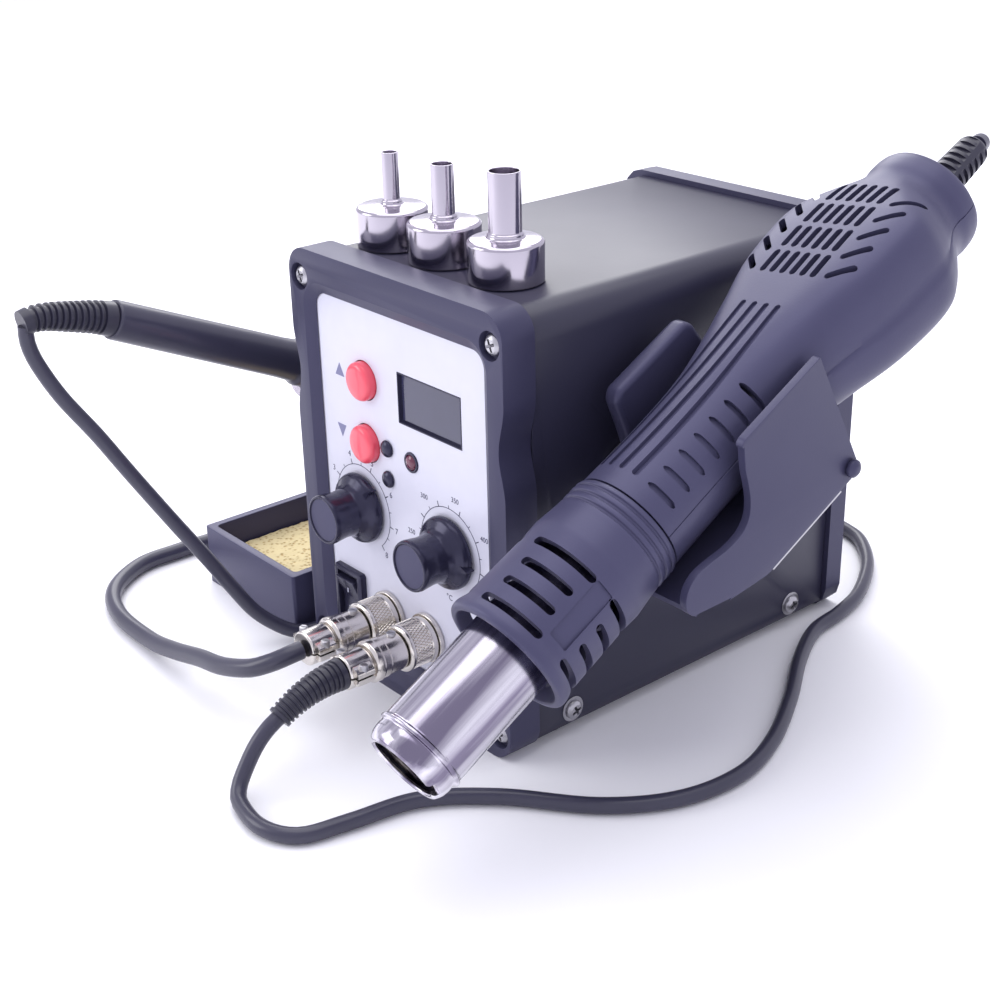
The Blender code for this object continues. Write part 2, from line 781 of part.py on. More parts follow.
def make_cover(finish):
    """The bent cover: one sheet that makes the top and both sides."""
    def arch(half, top, corner):
        steps = 4
        points = [(half, cover_foot_height)]
        for quarter, x in ((0, half - corner), (1, corner - half)):
            for i in range(steps + 1):
                angle = (quarter + i / steps) * math.pi / 2
                points.append((x + corner * math.cos(angle),
                               top - corner + corner * math.sin(angle)))
        points.append((-half, cover_foot_height))
        return points
    outer = arch(cover_half_width, cover_top, cover_corner)
    inner = arch(cover_half_width - cover_wall, cover_top - cover_wall, cover_corner - cover_wall)
    shape = bmesh.new()
    prism(shape, outer + inner[::-1], cover_front, cover_rear, "Y")
    cover = make_object("top_cover", shape, finish)
    holes = bmesh.new()
    for side in (-1, 1):
        for y in side_screw_places():
            turned(holes, [(0, -4 * mm), (screw_hole_radius, -4 * mm), (screw_hole_radius, 4 * mm),
                           (0, 4 * mm)], 8, "X",
                   Matrix.Translation((side * cover_half_width, y, side_screw_z)))
    pin_hole = post_pin + touch_gap
    for x in (nozzle_small_x, nozzle_medium_x, nozzle_large_x):
        turned(holes, [(0, cover_top - 2 * cover_wall), (pin_hole, cover_top - 2 * cover_wall),
                       (pin_hole, cover_top + cover_wall), (0, cover_top + cover_wall)], 8, "Z",
               Matrix.Translation((x, nozzle_y, 0)))
    for y, z in cradle_screw_places():
        turned(holes, [(0, -4 * mm), (screw_hole_radius, -4 * mm), (screw_hole_radius, 4 * mm),
                       (0, 4 * mm)], 8, "X", Matrix.Translation((cover_half_width, y, z)))
    cut(cover, holes, "cover_hole_cutter")


def make_base(finish):
    """The folded base tray inside the cover."""
    half = cover_half_width - cover_wall - touch_gap
    low = cover_foot_height
    outline = [(-half, low + base_height), (-half, low), (half, low), (half, low + base_height),
               (half - base_wall, low + base_height), (half - base_wall, low + base_wall),
               (base_wall - half, low + base_wall), (base_wall - half, low + base_height)]
    shape = bmesh.new()
    prism(shape, outline, cover_front + 0.5 * mm, cover_rear - 0.5 * mm, "Y")
    base = make_object("base_plate", shape, finish)
    holes = bmesh.new()
    for side in (-1, 1):
        for y in side_screw_places():
            turned(holes, [(0, -3 * mm), (screw_hole_radius, -3 * mm), (screw_hole_radius, 3 * mm),
                           (0, 3 * mm)], 8, "X",
                   Matrix.Translation((side * half, y, side_screw_z)))
    cut(base, holes, "base_hole_cutter")


# Front panel and what sits in it

def make_panel(finish):
    """The white panel behind the bezel's window, with a hole for each thing that it carries."""
    reach = panel_margin - touch_gap
    front = panel_y + touch_gap
    shape = bmesh.new()
    prism(shape, rounded_box_outline(-window_half_width - reach, window_half_width + reach,
                                     window_low - reach, window_high + reach,
                                     window_corner), front, front + panel_wall, "Y")
    panel = make_object("front_panel", shape, finish)
    holes = bmesh.new()
    low, high = front - panel_wall, front + 2 * panel_wall
    rounds = [(button_x, up_button_z, button_radius + running_gap, 14),
              (button_x, down_button_z, button_radius + running_gap, 14),
              (plug_dot_x, plug_dot_high_z, plug_dot_stem + touch_gap, 8),
              (plug_dot_x, plug_dot_low_z, plug_dot_stem + touch_gap, 8),
              (light_x, light_z, light_radius + touch_gap, 10),
              (-knob_x, knob_z, shaft_radius + running_gap, 10),
              (knob_x, knob_z, shaft_radius + running_gap, 10),
              (air_socket_x, socket_z, thread_radius + running_gap, 12),
              (iron_socket_x, socket_z, thread_radius + running_gap, 12)]
    for x, z, radius, sides in rounds:
        turned(holes, [(0, low), (radius, low), (radius, high), (0, high)], sides, "Y",
               Matrix.Translation((x, 0, z)))
    block(holes, (display_x - display_width / 2, low, display_z - display_height / 2),
          (display_x + display_width / 2, high, display_z + display_height / 2))
    block(holes, (switch_x - switch_body_width / 2 - touch_gap, low,
                  switch_z - switch_body_height / 2 - touch_gap),
          (switch_x + switch_body_width / 2 + touch_gap, high,
           switch_z + switch_body_height / 2 + touch_gap))
    cut(panel, holes, "panel_cutter")


def make_display(glass, board):
    """The digit module in the panel, and the control board with switches and potentiometers."""
    fit = touch_gap
    front = panel_y + touch_gap
    shape = bmesh.new()
    block(shape, (display_x - display_width / 2 + fit, front - touch_gap,
                  display_z - display_height / 2 + fit),
          (display_x + display_width / 2 - fit, front + display_glass,
           display_z + display_height / 2 - fit))
    module = make_object("display_module", shape, glass)
    body = bmesh.new()
    rim = display_rim
    block(body, (display_x - display_width / 2 - rim, front + panel_wall + fit,
                 display_z - display_height / 2 - rim),
          (display_x + display_width / 2 + rim, board_y - fit,
           display_z + display_height / 2 + rim))
    cut(module, body, "display_body", operation="UNION")
    shape = bmesh.new()
    half = window_half_width - board_margin
    block(shape, (-half, board_y, board_low), (half, board_y + board_wall, board_high))
    made = make_object("control_board", shape, board)
    parts = bmesh.new()
    reach = board_switch / 2
    for z in (up_button_z, down_button_z):
        start = front + button_length + button_travel + touch_gap
        block(parts, (button_x - reach, start, z - reach),
              (button_x + reach, board_y + board_wall / 2, z + reach))
    # The two potentiometers stand on the board, their collars against the panel
    start = panel_wall + touch_gap
    hole = shaft_radius + running_gap
    back = board_y + board_wall / 2 - front
    for side in (-1, 1):
        turned(parts, [(hole, start), (pot_collar_radius, start),
                       (pot_collar_radius, start + pot_collar_length),
                       (pot_radius, start + pot_collar_length), (pot_radius, back),
                       (pot_back_radius, back), (pot_back_radius, pot_cavity),
                       (hole, pot_cavity)],
               14, "Y", Matrix.Translation((side * knob_x, front, knob_z)))
    cut(made, parts, "board_parts", operation="UNION")


def make_buttons(finish):
    """The two red push buttons. Each slides through the panel, its foot on the board's switch."""
    front = panel_y + touch_gap
    for name, z in (("up_button", up_button_z), ("down_button", down_button_z)):
        shape = bmesh.new()
        crown = button_radius - button_crown
        flange = panel_wall + 1 * mm
        turned(shape, [(0, -button_height), (crown * 0.6, -button_height + 0.1 * button_crown),
                       (crown, -button_height + 0.4 * button_crown),
                       (button_radius, -button_height + 1.6 * button_crown),
                       (button_radius, flange), (button_foot_radius, flange),
                       (button_foot_radius, button_length), (0, button_length)], 16, "Y")
        make_object(name, shape, finish, place=(button_x, front, z))


def make_small_panel_parts(black, lens):
    """The two round plugs that close the calibration holes, and the heater light."""
    front = panel_y + touch_gap
    stem = plug_dot_stem
    high = plug_dot_height
    for name, z in (("calibration_plug_high", plug_dot_high_z),
                    ("calibration_plug_low", plug_dot_low_z)):
        shape = bmesh.new()
        turned(shape, [(0, -high), (plug_dot_radius * 0.6, -0.88 * high),
                       (plug_dot_radius, -0.35 * high), (plug_dot_radius, -touch_gap),
                       (stem, -touch_gap), (stem, plug_dot_length), (0, plug_dot_length)], 12, "Y")
        make_object(name, shape, black, place=(plug_dot_x, front, z))
    shape = bmesh.new()
    rim = light_radius + light_rim
    turned(shape, [(0, -light_height), (light_radius * 0.7, -0.7 * light_height), (light_radius, 0),
                   (light_radius, light_length), (rim, light_length),
                   (rim, board_y - front - touch_gap),
                   (0, board_y - front - touch_gap)], 12, "Y",
           Matrix.Translation((light_x, front, light_z)))
    make_object("heater_light", shape, lens)


def make_knobs(black):
    """Each knob is pressed on its shaft, which turns in the potentiometer behind the panel."""
    front = panel_y + touch_gap
    lift = knob_lift
    for name, side, angle in (("air", -1, air_knob_angle), ("temp", 1, temp_knob_angle)):
        x = side * knob_x
        shape = bmesh.new()
        top = knob_height
        turned(shape, [(0, -top), (knob_barrel_radius - 0.8 * mm, -top),
                       (knob_barrel_radius, -top + 0.9 * mm), (knob_barrel_radius + 0.5 * mm, -6 * mm),
                       (knob_barrel_radius + 1.6 * mm, -4.6 * mm),
                       (knob_skirt_radius - 0.6 * mm, -3.4 * mm), (knob_skirt_radius, -2.4 * mm),
                       (knob_skirt_radius, -lift), (shaft_radius, -lift),
                       (shaft_radius, knob_length), (0, knob_length)], 18, "Y")
        knob = make_object(name + "_knob", shape, black, place=(x, front, knob_z))
        pointer = bmesh.new()
        half = knob_pointer_width / 2
        inside = knob_barrel_radius - 0.2 * mm
        reach = knob_pointer_reach
        prism(pointer, [(-half, inside), (half, inside), (half / 3, reach), (-half / 3, reach)],
              -lift - 3.4 * mm, -lift - 0.4 * mm, "Y", Matrix.Rotation(angle, 4, "Y"))
        cut(knob, pointer, name + "_pointer", place=(x, front, knob_z), operation="UNION")


def make_switch(black):
    """The mains rocker switch: a frame with a flange and a see-saw rocker on its own axle line."""
    front = panel_y + touch_gap
    shape = bmesh.new()
    block(shape, (switch_x - switch_body_width / 2, front - 1 * mm, switch_z - switch_body_height / 2),
          (switch_x + switch_body_width / 2, front + switch_depth, switch_z + switch_body_height / 2))
    frame = make_object("power_switch_frame", shape, black)
    flange = bmesh.new()
    sections = []
    for y, shrink in ((front - touch_gap, 0), (front - switch_flange / 2, 0),
                      (front - switch_flange, switch_flange / 3)):
        outline = rounded_box_outline(switch_x - switch_width / 2 + shrink,
                                      switch_x + switch_width / 2 - shrink,
                                      switch_z - switch_height / 2 + shrink,
                                      switch_z + switch_height / 2 - shrink, 1.5 * mm, 2)
        sections.append([(a, y, b) for a, b in outline])
    loft(flange, sections)
    cut(frame, flange, "switch_flange", operation="UNION")
    well = bmesh.new()
    fit = running_gap
    half = rocker_height / 2
    block(well, (switch_x - rocker_width / 2 - fit, front - 2 * switch_flange,
                 switch_z - half - 1 * mm),
          (switch_x + rocker_width / 2 + fit, front + switch_well_depth, switch_z + half + 1 * mm))
    cut(frame, well, "switch_well")
    # The rocker's outer faces meet in a shallow V over the axle, here turned to off
    upright = Matrix.Rotation(rocker_rest, 4, "X")
    shape = bmesh.new()
    ridge = 0.4 * mm
    back = half - 0.3 * mm
    prism(shape, [(-rocker_rise, half), (-rocker_dip, ridge), (-rocker_dip, -ridge),
                  (-rocker_rise, -half), (0.8 * mm, -back), (rocker_depth, -rocker_foot),
                  (rocker_depth, rocker_foot), (0.8 * mm, back)],
          -rocker_width / 2, rocker_width / 2, "X", upright)
    make_object("power_rocker", shape, black, place=(switch_x, front + rocker_axle, switch_z))


# Sockets and plugs

def make_sockets(metal):
    """Each panel socket, its cable plug and the knurled ring that couples them."""
    front = panel_y + touch_gap
    for name, x in (("air", air_socket_x), ("iron", iron_socket_x)):
        flange = socket_flange
        nut = panel_wall + touch_gap
        nut_radius = ring_radius + nut_margin
        shape = bmesh.new()
        rim = ring_radius + nut_margin / 2
        turned(shape, [(0, -socket_reach), (thread_radius, -socket_reach),
                       (thread_radius, -flange - touch_gap), (rim, -flange - touch_gap),
                       (rim, -touch_gap), (thread_radius, -touch_gap),
                       (thread_radius, nut), (nut_radius, nut),
                       (nut_radius, nut + nut_depth), (thread_radius, nut + nut_depth),
                       (thread_radius, socket_depth), (0, socket_depth)], 12, "Y",
               Matrix.Translation((x, front, socket_z)))
        make_object(name + "_socket", shape, metal)
        bore = thread_radius + running_gap
        ring_front = -flange - 2 * touch_gap
        ring_back = ring_front - ring_length
        shape = bmesh.new()
        turned(shape, [(bore, ring_front), (ring_radius, ring_front),
                       (ring_radius, ring_back + ring_chamfer), (ring_radius - ring_chamfer, ring_back),
                       (neck_radius + running_gap, ring_back),
                       (neck_radius + running_gap, ring_back + ring_lip),
                       (bore, ring_back + ring_lip)], 14, "Y")
        make_object(name + "_plug_ring", shape, metal, place=(x, front, socket_z))
        shape = bmesh.new()
        face = -socket_reach - touch_gap
        hold = ring_back + ring_lip + running_gap
        body = ring_back - running_gap
        step = body - plug_body_length
        collar = plug_radius + plug_collar
        clamp = -plug_reach
        turned(shape, [(0, face), (thread_radius, face), (thread_radius, hold),
                       (neck_radius, hold), (neck_radius, body), (plug_radius, body),
                       (plug_radius, step), (collar, step - 0.5 * mm), (collar, step - 2 * mm),
                       (plug_clamp_radius, step - 2.4 * mm), (plug_clamp_radius, clamp),
                       (cord_bore, clamp), (cord_bore, clamp + cord_bore_depth),
                       (0, clamp + cord_bore_depth)],
               12, "Y", Matrix.Translation((x, front, socket_z)))
        plug = make_object(name + "_plug", shape, metal)
        ears = bmesh.new()
        for side in (-1, 1):
            middle = x + side * (plug_clamp_radius + 0.2 * mm)
            ear = front + clamp + 1.2 * mm
            block(ears, (middle - plug_ear_width / 2, ear, socket_z - plug_ear_height / 2),
                  (middle + plug_ear_width / 2, ear + plug_ear_length,
                   socket_z + plug_ear_height / 2))
        cut(plug, ears, name + "_plug_ears", operation="UNION")


def make_plug_boot(rubber):
    """The ribbed boot on the iron's plug. It droops a little with its cord."""
    start = panel_y + touch_gap - plug_reach - touch_gap
    path = smooth_path([(iron_socket_x, start + along * mm, socket_z + drop * mm)
                        for along, drop in plug_boot_route], 2.6 * mm)
    radii = []
    for k in range(len(path)):
        outer = plug_boot_radius * (1 - 0.28 * k / (len(path) - 1))
        radii.append(outer if k % 2 == 0 else outer - boot_groove)
    shape = bmesh.new()
    swept(shape, path, radii, 8, cord_grip)
    make_object("iron_plug_boot", shape, rubber)


plug_boot_route = [(0, 0), (-7, -0.5), (-14, -2.2), (-20, -4.9)]


# Inside the station

def make_transformer(core, winding):
    """The mains transformer on the base: a laminated core round its winding, on two feet."""
    floor = cover_foot_height + base_wall + touch_gap
    middle = transformer_y
    shape = bmesh.new()
    half, deep = transformer_base_width / 2, transformer_base_depth / 2
    block(shape, (-half, middle - deep, floor), (half, middle + deep, floor + transformer_base_wall))
    low = floor + transformer_base_wall / 2
    body = make_object("transformer", shape, core)
    upper = bmesh.new()
    half, deep = core_width / 2, core_depth / 2
    block(upper, (-half, middle - deep, low), (half, middle + deep, low + core_height))
    cut(body, upper, "transformer_core", operation="UNION")
    window = bmesh.new()
    sill = low + (core_height - core_window_height) / 2
    lintel = sill + core_window_height
    for side in (-1, 1):
        inner = side * core_leg
        outer = side * (core_leg + core_window)
        block(window, (min(inner, outer), middle - core_depth, sill),
              (max(inner, outer), middle + core_depth, lintel))
    cut(body, window, "transformer_windows")
    shape = bmesh.new()
    fit = touch_gap
    leg = core_leg + fit
    outer = core_leg + core_window - fit
    deep = winding_depth / 2
    for side in (-1, 1):
        block(shape, (min(side * leg, side * outer), middle - deep, sill + fit),
              (max(side * leg, side * outer), middle + deep, lintel - fit))
    coil = make_object("transformer_winding", shape, winding)
    ends = bmesh.new()
    near = core_depth / 2 + fit
    for side in (-1, 1):
        faces = (middle + side * near, middle + side * deep)
        block(ends, (-outer, min(faces), sill + fit), (outer, max(faces), lintel - fit))
    cut(coil, ends, "winding_ends", operation="UNION")


# Nozzles

def make_nozzles(metal, black):
    """Three nozzles on the posts of the cover, each a skirt with a tube drawn out of its top."""
    sizes = (("nozzle_small", nozzle_small_x, small_tube_radius),
             ("nozzle_medium", nozzle_medium_x, medium_tube_radius),
             ("nozzle_large", nozzle_large_x, large_tube_radius))
    for name, x, tube in sizes:
        wall = nozzle_wall
        high = nozzle_skirt_height
        tip = high + nozzle_tube_height
        skirt = nozzle_skirt_radius
        shape = bmesh.new()
        shoulder = nozzle_shoulder
        collar = nozzle_collar
        turned(shape, [(skirt - wall, 0), (skirt, 0), (skirt, high - shoulder),
                       (skirt - shoulder, high), (tube + collar, high + 0.3 * mm),
                       (tube + collar - 0.2 * mm, high + collar - 0.3 * mm), (tube, high + collar),
                       (tube, tip), (tube - wall, tip), (tube - wall, high - wall),
                       (skirt - shoulder - 0.3 * mm, high - wall),
                       (skirt - wall, high - shoulder - 0.3 * mm)], 16, "Z")
        make_object(name, shape, metal, place=(x, nozzle_y, cover_top + touch_gap))
        foot = nozzle_skirt_radius - nozzle_wall - 0.5 * mm
        chamfer = 0.8 * mm
        shape = bmesh.new()
        turned(shape, [(0, -post_pin_depth), (post_pin, -post_pin_depth), (post_pin, touch_gap),
                       (foot, touch_gap), (foot, post_foot), (post_radius, post_foot + 0.4 * mm),
                       (post_radius, post_height - chamfer),
                       (post_radius - chamfer, post_height), (0, post_height)], 12, "Z")
        make_object(name.replace("nozzle", "post"), shape, black, place=(x, nozzle_y, cover_top))


# Hot air handle. In its own frame Y runs from the tube's lip to the cord and Z is up


def section_half(along, width, height, squareness, side, offset, steps=8):
    """Half of a super-ellipse section, above (side 1) or below (side -1) the parting line."""
    points = []
    for i in range(steps + 1):
        angle = math.pi * i / steps
        c, s = math.cos(angle), math.sin(angle)
        x = width * math.copysign(abs(c) ** (2 / squareness), c)
        z = side * (height * abs(s) ** (2 / squareness) + offset)
        points.append((x, along, z))
    return points


def make_shell(name, side, finish, frame):
    """One half of the handle's casing: a moulded shell lofted through its sections."""
    sections = []
    split = touch_gap / 2
    for along, width, height, squareness in handle_stations:
        outer = section_half(along, width, height, squareness, side, split)
        if along < boot_hole_from:
            inner = section_half(along, width - shell_wall, height - shell_wall, squareness,
                                 side, split)
        else:
            inner = section_half(along, boot_hole, boot_hole, 2.0, side, split)
        sections.append(outer + inner[::-1])
    shape = bmesh.new()
    loft(shape, sections)
    return make_object(name, shape, finish, frame)


def make_handle_shells(finish, frame):
    """The two shells: air slots over the blower, and long and short grooves on the grip."""
    top = make_shell("handle_shell_top", 1, finish, frame)
    bottom = make_shell("handle_shell_bottom", -1, finish, frame)
    slots = bmesh.new()
    for row in range(intake_rows):
        for column in range(intake_columns):
            x = (column - (intake_columns - 1) / 2) * intake_pitch
            y = intake_first_row + row * intake_row_pitch
            prism(slots, slot_outline((x, y), intake_length, slot_width, math.pi / 2, 1),
                  12 * mm, 24 * mm)
    for side in (-1, 1):
        for k in range(side_vents):
            y = intake_first_row + k * side_vent_pitch
            angle = math.pi / 2 - side * side_vent_slant
            prism(slots, slot_outline((side * side_vent_x, y), side_vent_length, slot_width,
                                      angle, 1), 10 * mm, 24 * mm)
    cut(top, slots, "intake_cutter", frame)
    grooves = bmesh.new()
    low, high = grip_groove_start, grip_groove_end
    for k in range(grip_grooves):
        x = (k - (grip_grooves - 1) / 2) * grip_groove_pitch
        depth = 16.2 * mm - grip_groove_depth - x * x / (32 * mm)
        prism(grooves, [(low, depth), (130 * mm, depth + 0.1 * mm), (high, depth + 1.9 * mm),
                        (high, 24 * mm), (low, 24 * mm)],
              x - slot_width / 2, x + slot_width / 2, "X")
    cut(top, grooves, "grip_groove_cutter", frame)
    for side, shell, name in ((1, top, "upper"), (-1, bottom, "lower")):
        notches = bmesh.new()
        for across in (-1, 1):
            for k in range(side_groove_count):
                y = side_groove_first + k * side_groove_pitch
                turn = Matrix.Translation((0, y, 0)) @ Matrix.Rotation(across * 0.12, 4, "Z")
                angles = [math.radians(a) for a in (-4, 28)]
                outer = [(across * 22 * mm * math.cos(a), 22 * mm * math.sin(a)) for a in angles]
                inner = [(across * side_groove_floor * math.cos(a),
                          side_groove_floor * math.sin(a)) for a in angles]
                prism(notches, outer + inner[::-1], -slot_width / 2, slot_width / 2, "Y", turn)
        cut(shell, notches, name + "_side_groove_cutter", frame)
    holes = bmesh.new()
    for x, y in handle_screw_places():
        turned(holes, [(0, -26 * mm), (handle_screw_recess, -26 * mm),
                       (handle_screw_recess, handle_screw_seat),
                       (screw_hole_radius, handle_screw_seat), (screw_hole_radius, -10 * mm),
                       (0, -10 * mm)], 10, "Z", Matrix.Translation((x, y, 0)))
    cut(bottom, holes, "handle_screw_cutter", frame)


def handle_screw_places():
    """The shell screws, seen from below."""
    return [(-11 * mm, 166 * mm), (11 * mm, 166 * mm), (0, 208 * mm)]


def make_heater(metal, ceramic, frame):
    """The steel heater tube with its rolled bead and flared lip, and the heater core inside."""
    wall = tube_wall
    r = tube_radius
    shape = bmesh.new()
    neck = tube_neck_radius
    turned(shape, [(tube_lip_radius, 0), (neck, 1.6 * mm), (neck, 3 * mm),
                   (tube_bead_radius, 4.4 * mm), (tube_bead_radius - 0.2 * mm, 6.8 * mm),
                   (r, 7.6 * mm), (r, tube_end), (r - wall, tube_end), (r - wall, 8 * mm),
                   (neck - 0.9 * mm, 3 * mm), (neck - 0.9 * mm, 1.6 * mm),
                   (tube_lip_radius - wall, 0)], 20, "Y")
    tube = make_object("heater_tube", shape, metal, frame)
    notch = bmesh.new()
    block(notch, (8 * mm, -2 * mm, -2.5 * mm), (14 * mm, 2.4 * mm, 2.5 * mm),
          Matrix.Rotation(math.radians(20), 4, "Y"))
    cut(tube, notch, "lip_notch_cutter", frame)
    fins = bmesh.new()
    reach = r - wall - touch_gap
    half = 0.8 * mm
    cross = []
    for k in range(4):
        turn = Matrix.Rotation(k * math.pi / 2, 3, "Z")
        for x, z in ((reach, -half), (reach, half), (half, half)):
            corner = turn @ Vector((x, z, 0))
            cross.append((corner.x, corner.y))
    prism(fins, cross, 10 * mm, tube_end - 4 * mm, "Y")
    make_object("heater_core", fins, ceramic, frame)


def make_guard(finish, frame):
    """The slotted guard round the heater tube, with three ring grooves where it meets the grip."""
    w = guard_wall
    hole = tube_radius + touch_gap
    outer = [(16.8 * mm, guard_start), (18.9 * mm, guard_start + 0.6 * mm),
             (19.1 * mm, guard_start + 2.6 * mm), (18.2 * mm, guard_start + 5.4 * mm),
             (17.7 * mm, 66 * mm), (18.0 * mm, 71 * mm), (17.2 * mm, 78 * mm)]
    for k in range(3):
        at = 80.2 * mm + k * 2.5 * mm
        outer += [(17.1 * mm, at), (16.5 * mm, at + 0.3 * mm), (16.5 * mm, at + 0.9 * mm),
                  (17.1 * mm, at + 1.2 * mm)]
    outer += [(16.6 * mm, guard_end)]
    inner = [(hole, guard_end), (hole, 80 * mm), (17.7 * mm - w, 77 * mm),
             (18.0 * mm - w, guard_start + 5 * mm)]
    shape = bmesh.new()
    turned(shape, outer + inner, 24, "Y")
    guard = make_object("front_guard", shape, finish, frame)
    slots = bmesh.new()
    half = guard_slot_width / 2
    for group in range(guard_groups):
        turn = Matrix.Rotation(-guard_first_group - full_turn * group / guard_groups, 4, "Y")
        for along, reach in guard_slot_rows:
            across = 17 * mm * math.sin(reach)
            block(slots, (11.6 * mm, along - half, -across), (22 * mm, along + half, across), turn)
    cut(guard, slots, "guard_slot_cutter", frame)
    recess = bmesh.new()
    block(recess, (17.1 * mm, 46.5 * mm, -3.2 * mm), (22 * mm, 65.5 * mm, 3.2 * mm),
          Matrix.Rotation(math.radians(-15), 4, "Y"))
    cut(guard, recess, "guard_recess_cutter", frame)


def make_blower(white, frame):
    """The blower in the head: an open scroll on three pegs, and the wheel that spins in it."""
    low = blower_low
    shape = bmesh.new()
    steps = 18
    spiral_out, spiral_in = [], []
    for i in range(steps + 1):
        share = i / steps
        angle = math.radians(-60) + math.radians(300) * share
        radius = blower_radius - 1.6 * mm + 1.6 * mm * share
        spiral_out.append((radius * math.cos(angle), radius * math.sin(angle)))
        inner = radius - blower_wall
        spiral_in.append((inner * math.cos(angle), inner * math.sin(angle)))
    prism(shape, spiral_out + spiral_in[::-1], low, low + blower_height)
    place = (0, blower_middle, 0)
    housing = make_object("blower_housing", shape, white, frame, place)
    floor = bmesh.new()
    prism(floor, spiral_out, low - blower_wall, low + 0.2 * mm)
    cut(housing, floor, "blower_floor", frame, place, "UNION")
    axle = bmesh.new()
    peg, foot = blower_peg_radius, blower_peg_foot
    for angle in (30, 150, 270):
        x = blower_peg_ring * math.cos(math.radians(angle))
        y = blower_peg_ring * math.sin(math.radians(angle))
        turned(axle, [(0, foot), (peg, foot), (peg, low - blower_wall / 2),
                      (0, low - blower_wall / 2)], 10, "Z", Matrix.Translation((x, y, 0)))
    under, seat = low - blower_wall / 3, low + 1.6 * mm
    turned(axle, [(0, under), (2 * axle_radius, under), (2 * axle_radius, seat),
                  (axle_radius, seat), (axle_radius, low + wheel_height - 1 * mm),
                  (0, low + wheel_height - 1 * mm)], 12, "Z")
    cut(housing, axle, "blower_axle", frame, place, "UNION")
    shape = bmesh.new()
    base = seat + running_gap
    bore = axle_radius + running_gap
    turned(shape, [(bore, base), (wheel_radius, base), (wheel_radius, base + 1 * mm),
                   (6.6 * mm, base + 1 * mm), (5.4 * mm, base + wheel_height - 2 * mm),
                   (bore + 1.4 * mm, base + wheel_height), (bore, base + wheel_height)], 16, "Z")
    wheel = make_object("blower_wheel", shape, white, frame, place)
    blades = bmesh.new()
    for k in range(wheel_blades):
        turn = Matrix.Rotation(full_turn * k / wheel_blades, 4, "Z")
        bend = [(10.5 * mm, 0), (13.5 * mm, 1.5 * mm), (16.2 * mm, 4.0 * mm)]
        back = [(x - 0.4 * mm, y + 0.9 * mm) for x, y in bend[::-1]]
        prism(blades, bend + back, base + 0.5 * mm, base + wheel_height, "Z", turn)
    cut(wheel, blades, "wheel_blades", frame, place, "UNION")


def make_handle_boot(rubber, frame):
    """The ribbed boot where the cord leaves the handle, held by its flange inside the shells."""
    grip = hot_air_cord_diameter / 2 + touch_gap
    start = boot_hole_from - touch_gap
    neck = boot_hole - touch_gap
    face = shell_end + touch_gap
    flange = boot_flange_radius
    outline = [(grip, start - boot_flange), (flange, start - boot_flange), (flange, start),
               (neck, start), (neck, face)]
    rib = (boot_end - face) / boot_ribs
    for k in range(boot_ribs):
        outer = boot_radius * (1 - 0.13 * k / boot_ribs)
        at = face + k * rib
        outline += [(outer, at + 0.1 * mm), (outer, at + rib * 0.5),
                    (outer - boot_rib_depth, at + rib * 0.55),
                    (outer - boot_rib_depth, at + rib * 0.95)]
    outline += [(grip + 1.4 * mm, boot_end), (grip, boot_end)]
    shape = bmesh.new()
    turned(shape, outline, 10, "Y")
    make_object("handle_boot", shape, rubber, frame)


# Cradle for the handle, in the handle's frame


def station_side_x():
    """The station's side in the handle's frame."""
    return cover_half_width - handle_x


def cradle_screw_spots():
    """The bracket's screws along and across the handle's axis."""
    return [(cradle_screw_front, cradle_screw_up), (cradle_screw_rear, cradle_screw_up)]


def cradle_screw_places():
    """The same screws in the station's frame, as (y, z)."""
    spots = []
    for along, up in cradle_screw_spots():
        y = handle_tip_y + along * math.cos(handle_tilt) - up * math.sin(handle_tilt)
        z = handle_tip_z + along * math.sin(handle_tilt) + up * math.cos(handle_tilt)
        spots.append((y, z))
    return spots


